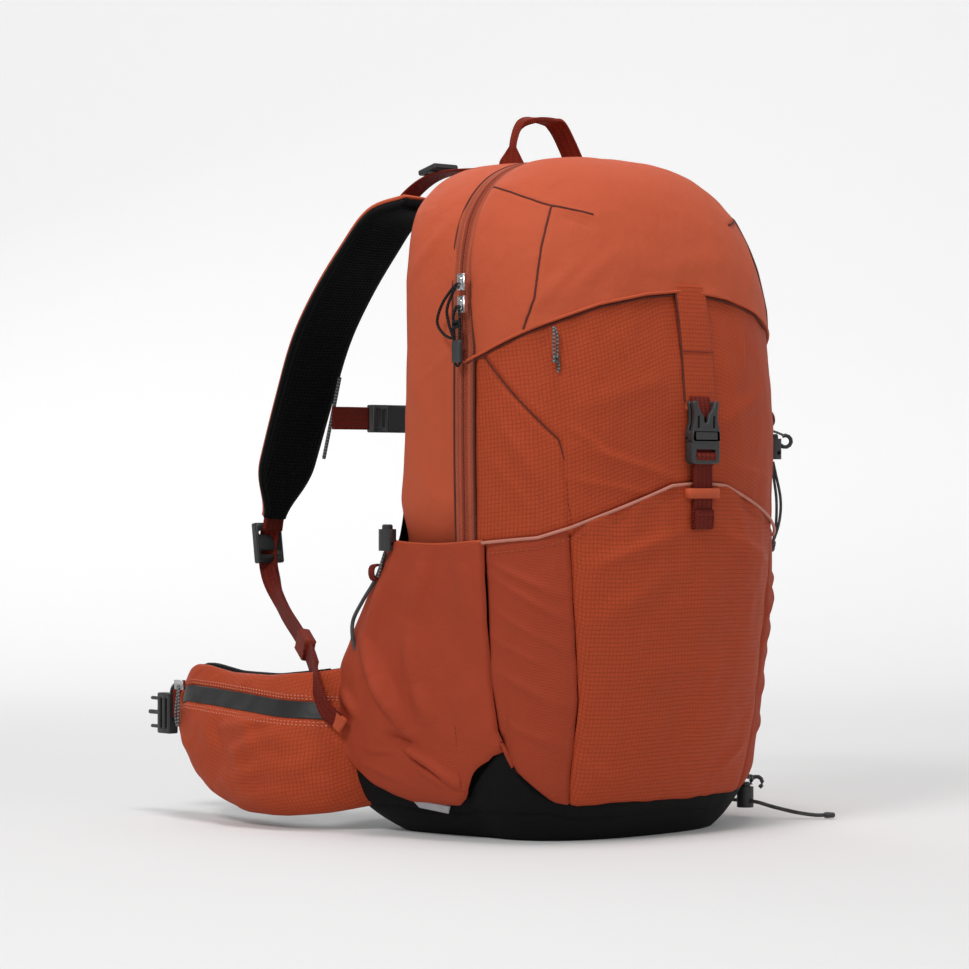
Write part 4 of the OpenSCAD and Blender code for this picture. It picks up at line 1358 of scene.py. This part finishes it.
def hardware():
    """Buckles, ladder locks, cord locks and main zip sliders, all with moulded edges."""
    for name, body in {"lifter_buckles": "pack",
                       "strap_buckle_left": "strap_lock_left", "strap_buckle_right": "strap_lock_right",
                       "sternum_buckle_female": "sternum_strap", "sternum_buckle_male": "sternum_plug",
                       "belt_buckle_female": "belt_socket", "belt_buckle_male": "belt_plug",
                       "cord_lock_left": "pack", "keeper_hook_right": "pack", "axe_hook": "pack",
                       "lock_button_left": "button_left", "lock_button_right": "button_right",
                       "lock_button_axe": "button_axe"}.items():
        soften(name, 0.0007, M_PLASTIC, body)
    for name, body in {"zip_slider_upper": "zip_upper", "zip_slider_lower": "zip_lower"}.items():
        soften(name, 0.0006, M_METAL, body)


def sternum():
    """Sternum strap webbing, its rails and its elastic keeper."""
    y, z = .2228, .311
    left = strap_web("sternum_web_left", [(-.070, y + .004, z), (-.055, y + .0006, z), (-.036, y, z)],
                     (0, 0, 1), .018, .0017, "sternum_plug")
    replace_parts(left, "sternum_webbing_left")
    right = strap_web("sternum_web_right", [(.0105, y, z), (.050, y + .0006, z), (.070, y + .004, z)],
                      (0, 0, 1), .018, .0017, "sternum_strap")
    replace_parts(right, "sternum_webbing_right")
    for side, name in SIDES:
        path = np.array([(-.068, .2400, .279), (-.068, .2300, .311), (-.068, .2200, .343)]) * flipped(side)
        rail = seam_tube("sternum_rail_%s" % name, path, .0015, "harness", M_CORD)
        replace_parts(rail, "sternum_rails")
    strap_web("sternum_keeper", [(.014, y - .0022, z), (.022, y - .0034, z), (.030, y - .0022, z)],
              (0, 0, 1), .020, .0028, "sternum_strap")


def slider_pulls():
    """Cord loops on the main zip's sliders: one swings out, one hangs straight."""
    x, y, z = -.1494, -.012, .388
    hang = [(x, y + .001, z - .001), (x - .001, y + .0035, z - .010), (x - .0005, y + .003, z - .024),
            (x - .0002, y + .0030, z - .040), (x, y, z - .0445), (x - .0002, y - .0030, z - .040),
            (x - .0005, y - .003, z - .024), (x - .001, y - .0035, z - .010), (x, y - .001, z - .001)]
    loop = seam_tube("lower_pull_loop", catmull(hang, 6), .0011, "zip_lower", M_BLACK_CORD)
    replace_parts(loop, "zip_pulls")
    knot = [(x - .0006, y - .004, z - .013), (x - .002, y, z - .0125), (x - .0006, y + .004, z - .0135),
            (x + .0008, y, z - .015), (x - .0006, y - .004, z - .0165), (x - .002, y, z - .0165),
            (x - .0006, y + .004, z - .0175)]
    seam_tube("lower_pull_knot", catmull(knot, 5), .0012, "zip_lower", M_BLACK_CORD)
    grip = [(x - .0002, y, z - .026), (x - .0004, y, z - .034), (x - .0002, y, z - .042)]
    strap_web("lower_pull_grip", grip, (0, 1, 0), .0085, .0030, "zip_lower", M_PLASTIC)
    z = .404
    swing = [(x, y, z - .001), (x - .001, y + .006, z - .006), (x - .001, y + .016, z - .016),
             (x - .001, y + .021, z - .028), (x - .001, y + .014, z - .037), (x - .001, y + .004, z - .040),
             (x - .0012, y + .008, z - .030), (x - .001, y + .010, z - .018), (x, y + .001, z - .002)]
    seam_tube("upper_pull_loop", catmull(swing, 6), .0011, "zip_upper", M_BLACK_CORD)


def small_pulls():
    """Knotted grey cords on the front-pocket and pouch sliders."""
    p0 = np.array((-.1138, -.0748, .3705))
    hang = [(0, 0, 0), (-.0016, -.002, -.006), (-.0018, -.0022, -.016), (-.0010, -.0022, -.024),
            (.0010, -.0022, -.0240), (.0018, -.0022, -.016), (.0016, -.002, -.006), (.0006, 0, 0)]
    loop = seam_tube("front_pull_loop", catmull(p0 + np.array(hang), 6), .0009, "front_zip", M_CORD)
    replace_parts(loop, "front_slider")
    k = p0 + np.array((0, -.0022, -.022))
    knot = [(-.0026, 0, 0), (0, -.0018, .0008), (.0026, 0, 0), (0, .0016, -.0012), (-.0026, 0, -.0022),
            (0, -.0018, -.0026), (.0026, 0, -.0030), (.003, 0, -.0075), (.0020, 0, -.0100)]
    seam_tube("front_pull_knot", catmull(k + np.array(knot), 5), .0010, "front_zip", M_CORD)
    for side, name in SIDES:
        m, body = flipped(side), "wing_zip_%s" % name
        top = np.array((-.1795, .2805, .1025))
        block = strap_web("pouch_slider_%s" % name, (top + np.array([(0, .005, 0), (0, 0, 0),
                                                                     (0, -.005, 0)])) * m,
                          (0, 0, 1), .0075, .0034, body, M_METAL)
        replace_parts(block, "belt_slider_%s" % name)
        pull = top + np.array([(-.0014, -.001, 0), (-.0024, 0, -.008), (-.0030, .0016, -.022),
                               (-.0026, .0006, -.031), (-.0026, -.0014, -.031), (-.0030, -.0022, -.022),
                               (-.0024, -.002, -.008), (-.0014, -.0006, 0)])
        seam_tube("pouch_pull_%s" % name, catmull(pull * m, 6), .0010, body, M_CORD)


def curve_piece(name, points, diameter, body, mat):
    """A free cord as one open, rounded spline."""
    data = bpy.data.curves.new(name, "CURVE")
    data.dimensions = "3D"
    data.bevel_depth = diameter / 2
    data.bevel_resolution = 3
    data.use_fill_caps = True
    spline = data.splines.new("POLY")
    path = catmull(points, 6)
    spline.points.add(len(path) - 1)
    for p, q in zip(spline.points, path):
        p.co = (*q, 1)
    data.materials.append(mat)
    return place(name, data, body), float(np.sum(np.linalg.norm(np.diff(path, axis=0), axis=1)))


def tip_piece(name, at, direction, length, radius):
    """Moulded end of a cord."""
    at, direction = np.array(at, float), unit(np.array(direction, float))
    path = np.array([at + direction * length * t for t in np.linspace(-.15, 1, 9)])
    _, across, out = frames(path, (0, 0, 1) if abs(direction[2]) < .9 else (1, 0, 0))
    taper = [.7, 1, 1, 1, .95, .9, .9, .85, .5]
    prof = np.array([[(radius * t * math.cos(k * math.pi / 6), radius * t * math.sin(k * math.pi / 6))
                      for k in range(12)] for t in taper])
    return swept(name, path, across, out, prof, "pack", M_PLASTIC)


LEFT_CORD = [(-.1455, .073, .2078), (-.146, .082, .190), (-.147, .097, .172), (-.1485, .106, .158),
             (-.1495, .106, .146), (-.1495, .102, .135)]
RIGHT_CORD = [(.151, -.041, .2762), (.1515, -.041, .266), (.1535, -.042, .250), (.154, -.042, .238),
              (.153, -.042, .226), (.151, -.041, .214)]
AXE_CORD = [(.1285, -.002, .036), (.133, 0, .026), (.139, -.001, .0165), (.142, -.007, .013),
            (.142, -.013, .013), (.142, -.020, .013), (.142, -.027, .013), (.144, -.033, .0122),
            (.151, -.042, .009), (.163, -.054, .005), (.173, -.064, .003), (.179, -.070, .003)]


def second_strand(route, shift):
    """The route shifted sideways between its ends, for the second strand of a doubled cord."""
    pts = [np.array(q, float) for q in route]
    n = len(pts) - 1
    return np.array([q + np.array(shift) * math.sin(math.pi * k / n) for k, q in enumerate(pts)])


def hook_piece(name, centre, radius, start, stop, facing):
    """Open plastic hook beside a cord lock."""
    facing, up = unit(np.array(facing, float)), np.array((0, 0, 1))
    t = np.radians(np.linspace(start, stop, 15))
    pts = [np.array(centre) + facing * math.cos(k) * radius + up * math.sin(k) * radius for k in t]
    seam_tube(name, np.array(pts), .0016, "pack", M_PLASTIC)


def keeper_cord(node, route, way, shift, strand=0.0022):
    """A free cord with its moulded tip, and a second strand beside it if shift says where."""
    tip = tip_piece(node + "_tip", route[-1], way, 0.0075, 0.0024)
    main, length = curve_piece(node + "_braid", route, strand, "pack", M_CORD)
    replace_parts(main, node)
    if shift is None:
        return
    second_route = second_strand(route, shift)
    second, length = curve_piece(node + "_strand", second_route, strand, "pack", M_CORD)


def cords():
    """The three free cords, along the same routes as their solids, and two plastic hooks."""
    left, length = curve_piece("keeper_cord_left_braid", LEFT_CORD, 0.0030, "pack", M_CORD)
    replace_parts(left, "keeper_cord_left")
    keeper_cord("keeper_cord_right", RIGHT_CORD, (-.2, 0, -1), (.0026, -.0020, 0))
    keeper_cord("axe_cord", AXE_CORD, (.7, -.7, 0), None, 0.0030)
    hook_piece("keeper_hook_right_claw", (.1600, -.0455, .2920), .0046, -140, 120, (.743, -.669, 0))
    hook_piece("axe_hook_claw", (.1490, -.0255, .0270), .0046, -60, 200, (.743, -.669, 0))


def loops():
    """Cord loops that hold the locks to the webbing loop and to the base."""
    for k, (dx, dy) in enumerate(((-.0012, 0), (.0014, -.001))):
        pts = [(.1415 + dx, -.041 + dy, .3005), (.1455 + dx, -.041 + dy, .2975),
               (.1500 + dx, -.0415 + dy, .2960), (.1510 + dx, -.0415 + dy, .2925)]
        seam_tube("right_lock_loop_%d" % k, catmull(pts, 6), .0010, "pack", M_CORD)
    pts = [(.1440, -.0440, .3005), (.1520, -.0450, .2985), (.1590, -.0458, .2962)]
    seam_tube("right_hook_cord", catmull(pts, 6), .0010, "pack", M_CORD)
    for k, dz in enumerate((0, -.0026)):
        pts = [(.1270, -.010, .0375 + dz), (.1360, -.018, .0350 + dz), (.1470, -.0250, .0315 + dz * .5)]
        seam_tube("axe_hook_cord_%d" % k, catmull(pts, 6), .0011, "pack", M_CORD)
    pts = [(-.1450, .071, .213), (-.1470, .074, .204), (-.1475, .076, .196), (-.1470, .079, .190)]
    seam_tube("left_lock_strand", catmull(pts, 6), .0009, "pack", M_CORD)
    loop = [(-.1400, .085, .199), (-.1480, .084, .198), (-.1500, .0835, .193), (-.1480, .083, .188),
            (-.1400, .084, .187)]
    strap_web("left_lock_loop", loop, (0, 1, 0), .006, .0014, "pack")


def keeper_loop():
    """Flat webbing loop standing out from the right side."""
    x0, y0, z0 = .1355, -.040, .3080
    width, outer, inner = .0105, .0080, .0062
    n = 48
    verts = []
    for k in range(n):
        ang = 2 * math.pi * k / n
        squash = 1.0 + .18 * math.sin(ang)
        for r, x in ((outer, 0), (outer, width), (inner, width), (inner, 0)):
            verts.append((x0 + x, y0 + r * math.cos(ang), z0 + r * math.sin(ang) * .92 * squash))
    faces = [(i * 4 + j, i * 4 + (j + 1) % 4, ((i + 1) % n) * 4 + (j + 1) % 4, ((i + 1) % n) * 4 + j)
             for i in range(n) for j in range(4)]
    uv = np.array([[v[0], v[2]] for v in verts])
    obj = new_object("keeper_loop_webbing", verts, faces, "pack", M_WEB, uv)
    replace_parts(obj, "keeper_loop_right")


def base_tab():
    """Small reflective tab sewn in above the base seam."""
    rows, cols = 8, 20
    u = np.linspace(0, 1, cols)[None, :]
    v = np.linspace(0, 1, rows)[:, None]
    a = 160.5 + .8 * v + (12.5 - 3.0 * v) * u
    z = .0275 - .0030 * u - .0056 * v
    p = bag(a, z, 0.0046)
    grid_mesh("reflective_tab", p, "pack", M_REFLECT, 0.0012)


def inner_pieces():
    """Materials on the CAD pieces inside the back."""
    for node, mat in (("frame_sheet", M_PLASTIC), ("frame_stays", M_STAY), ("back_foam", M_FOAM),
                      ("hydration_sleeve", M_SLEEVE)):
        obj = bpy.data.objects[node]
        for k in range(len(obj.material_slots)):
            obj.material_slots[k].material = mat


# ------------------------------------------------------------------ front buckle
def plate(name, outline, holes, thick, at, body, round_by=0.0006):
    """A moulded plate cut from an outline in x and z, with rounded edges, centred on its thickness."""
    data = bpy.data.curves.new(name, "CURVE")
    data.dimensions = "2D"
    data.fill_mode = "BOTH"
    data.extrude = thick / 2 - round_by
    data.bevel_depth = round_by
    data.bevel_resolution = 2
    for ring in [outline] + list(holes):
        spline = data.splines.new("POLY")
        spline.points.add(len(ring) - 1)
        for point, (x, z) in zip(spline.points, ring):
            point.co = (x, z, 0, 1)
        spline.use_cyclic_u = True
    temp = bpy.data.objects.new(name + "_outline", data)
    bpy.context.scene.collection.objects.link(temp)
    bpy.context.view_layer.update()
    mesh = bpy.data.meshes.new_from_object(temp.evaluated_get(bpy.context.evaluated_depsgraph_get()))
    bpy.data.objects.remove(temp)
    x0, y0, z0 = at
    co = np.array([v.co for v in mesh.vertices])
    new = np.stack([co[:, 0] + x0, y0 - co[:, 2], co[:, 1] + z0], 1)
    mesh.vertices.foreach_set("co", new.reshape(-1).astype(np.float32))
    mesh.materials.clear()
    mesh.materials.append(M_PLASTIC)
    obj = place(name, mesh, body)
    weld(obj, 1e-6)
    return obj


def rounded(x0, z0, x1, z1, r):
    """Outline of a rectangle with corners of radius r."""
    pts = []
    corners = ((x1 - r, z1 - r, 0), (x0 + r, z1 - r, 90), (x0 + r, z0 + r, 180), (x1 - r, z0 + r, 270))
    for cx, cz, start in corners:
        for k in range(5):
            t = math.radians(start + 90 * k / 4)
            pts.append((cx + r * math.cos(t), cz + r * math.sin(t)))
    return pts


def front_buckle():
    """Side-release buckle: a notched socket with two windows, and a plug with a slotted frame."""
    half = [(.0135, 0), (.0135, .003), (.0128, .009), (.0114, .013), (.0111, .021), (.0124, .0268),
            (.0118, .0282), (.0098, .0280), (.0090, .0250), (.0060, .0205), (.0036, .0180), (.0030, .0140),
            (.0018, .0124), (0, .0120)]
    outline = half + [(-x, z) for x, z in half[::-1][1:]]
    window = rounded(.0062, .0085, .0098, .0190, .0012)
    windows = [window, [(-x, z) for x, z in window][::-1]]
    socket = plate("front_socket_face", outline, windows, .0034, (0, -.1143, .290), "pack", .0008)
    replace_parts(socket, "front_buckle_female")
    plate("front_socket_back", outline, [], .0026, (0, -.1094, .290), "pack")
    plate("front_socket_rim", rounded(-.0135, 0, .0135, .0070, .0012),
          [rounded(-.0112, .0010, .0112, .0064, .0008)], .0080, (0, -.1120, .290), "pack")
    plug_at = (0, -.1120, .2742)
    frame_part = plate("front_plug_frame", rounded(-.0135, 0, .0135, .0152, .0022),
                       [rounded(-.0106, .0032, .0106, .0104, .0008)], .0070, plug_at, "front_plug", .0008)
    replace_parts(frame_part, "front_buckle_male")
    prong = [(-.0100, .0150), (-.0068, .0150), (-.0066, .0260), (-.0072, .0335), (-.0092, .0330),
             (-.0100, .0290)]
    plate("front_plug_prong_left", prong, [], .0034, plug_at, "front_plug", .0005)
    plate("front_plug_prong_right", [(-x, z) for x, z in prong][::-1], [], .0034, plug_at, "front_plug",
          .0005)
    loop = [(0, -.1086, .2740), (0, -.1094, .2800), (0, -.1146, .2812), (0, -.1156, .2785),
            (0, -.1140, .2750),
            (0, -.1118, .2725)]
    strap_web("front_webbing_turn", loop, (1, 0, 0), 0.0195, 0.0017, "front_plug")


# ------------------------------------------------------------------ camera, light and floor
CAMERA_AZIMUTH = -42.0
CAMERA_DISTANCE = 2.4
CAMERA_HEIGHT = 0.2585
CAMERA_OFFSET = -0.0836
CAMERA_LENS = 118.6
FLOOR_GREY = 0.70
GLOW_NEAR = 0.05
GLOW_FAR = 0.43
WORLD_LIGHT = 0.36


def view_axes():
    """Horizontal directions to the camera's right and away from it."""
    a = math.radians(CAMERA_AZIMUTH)
    return Vector((math.cos(a), math.sin(a), 0)), Vector((-math.sin(a), math.cos(a), 0))


def make_camera():
    right, forward = view_axes()
    cam = bpy.data.cameras.new("camera")
    cam.lens = CAMERA_LENS
    cam.sensor_width = 36
    obj = bpy.data.objects.new("camera", cam)
    bpy.context.scene.collection.objects.link(obj)
    obj.location = right * CAMERA_OFFSET - forward * CAMERA_DISTANCE + Vector((0, 0, CAMERA_HEIGHT))
    obj.rotation_euler = forward.to_track_quat("-Z", "Y").to_euler()
    bpy.context.scene.camera = obj


def area_light(name, azimuth, height, distance, size, power):
    """A white disk lamp aimed at the middle of the pack; azimuth 0 is straight in front."""
    a = math.radians(azimuth)
    light = bpy.data.lights.new(name, "AREA")
    light.shape, light.size, light.energy = "DISK", size, power
    obj = bpy.data.objects.new(name, light)
    bpy.context.scene.collection.objects.link(obj)
    obj.location = (distance * math.sin(a), -distance * math.cos(a), height)
    aim = Vector((0, 0.02, 0.25)) - obj.location
    obj.rotation_euler = aim.to_track_quat("-Z", "Y").to_euler()


def make_stage():
    """Seamless pale sweep: the floor curves up behind the pack, and glows a little more with distance."""
    mat = bpy.data.materials.new("floor")
    mat.use_nodes = True
    shader = mat.node_tree.nodes["Principled BSDF"]
    shader.inputs["Base Color"].default_value = (FLOOR_GREY, FLOOR_GREY, FLOOR_GREY, 1)
    shader.inputs["Roughness"].default_value = 1.0
    shader.inputs["Specular IOR Level"].default_value = 0.0
    shader.inputs["Emission Color"].default_value = (1, 1, 1, 1)
    glow = mat.node_tree.nodes.new("ShaderNodeAttribute")
    glow.attribute_name = "glow"
    mat.node_tree.links.new(glow.outputs["Fac"], shader.inputs["Emission Strength"])
    right, forward = view_axes()
    start, radius, top = 1.6, 1.6, 5.0
    rows = [(d, 0.0) for d in (-5.0, -.6, 0, .3, .6, .9, 1.2, start)]
    rows += [(start + radius * math.sin(t), radius * (1 - math.cos(t)))
             for t in np.linspace(0, math.pi / 2, 25)[1:]]
    rows += [(start + radius, top)]
    verts = [right * x + forward * d + Vector((0, 0, z)) for d, z in rows for x in (-6.0, 6.0)]
    faces = [(2 * k, 2 * k + 1, 2 * k + 3, 2 * k + 2) for k in range(len(rows) - 1)]
    mesh = bpy.data.meshes.new("floor")
    mesh.from_pydata([tuple(v) for v in verts], [], faces)
    mesh.materials.append(mat)
    mesh.polygons.foreach_set("use_smooth", [True] * len(faces))
    level = [GLOW_NEAR + (GLOW_FAR - GLOW_NEAR) * float(ease(d + z, .3, 3.0)) for d,
             z in rows for _ in (0, 1)]
    mesh.attributes.new("glow", "FLOAT", "POINT").data.foreach_set("value", level)
    floor = bpy.data.objects.new("floor", mesh)
    bpy.context.scene.collection.objects.link(floor)
    world = bpy.data.worlds.new("world")
    world.use_nodes = True
    world.node_tree.nodes["Background"].inputs["Color"].default_value = (1.0, 1.0, 1.0, 1)
    world.node_tree.nodes["Background"].inputs["Strength"].default_value = WORLD_LIGHT
    bpy.context.scene.world = world
    bpy.context.scene.view_settings.view_transform = "Standard"
    area_light("key", -76, 2.3, 2.2, 0.8, 31)
    area_light("fill", 14, 1.6, 2.6, 1.4, 6)
    area_light("top", -30, 2.4, 0.3, 0.8, 24)
    area_light("rear", 165, 1.7, 2.4, 1.2, 8)


# ------------------------------------------------------------------ build
make_camera()
cords()
make_stage()
side_panels()
lid()
front()
stash_pocket()
bottle_pockets()
base()
back()
back_pads()
main_zip()
hems()
seams()
shoulder_straps()
strap_tails()
load_lifters()
carry_handle()
placket_and_front_web()
for side, name in SIDES:
    wing_pad(name, side)
    wing_pouch(name, side)
    belt_tip(name, side)
hardware()
front_buckle()
loops()
base_tab()
sternum()
slider_pulls()
small_pulls()
inner_pieces()
keeper_loop()
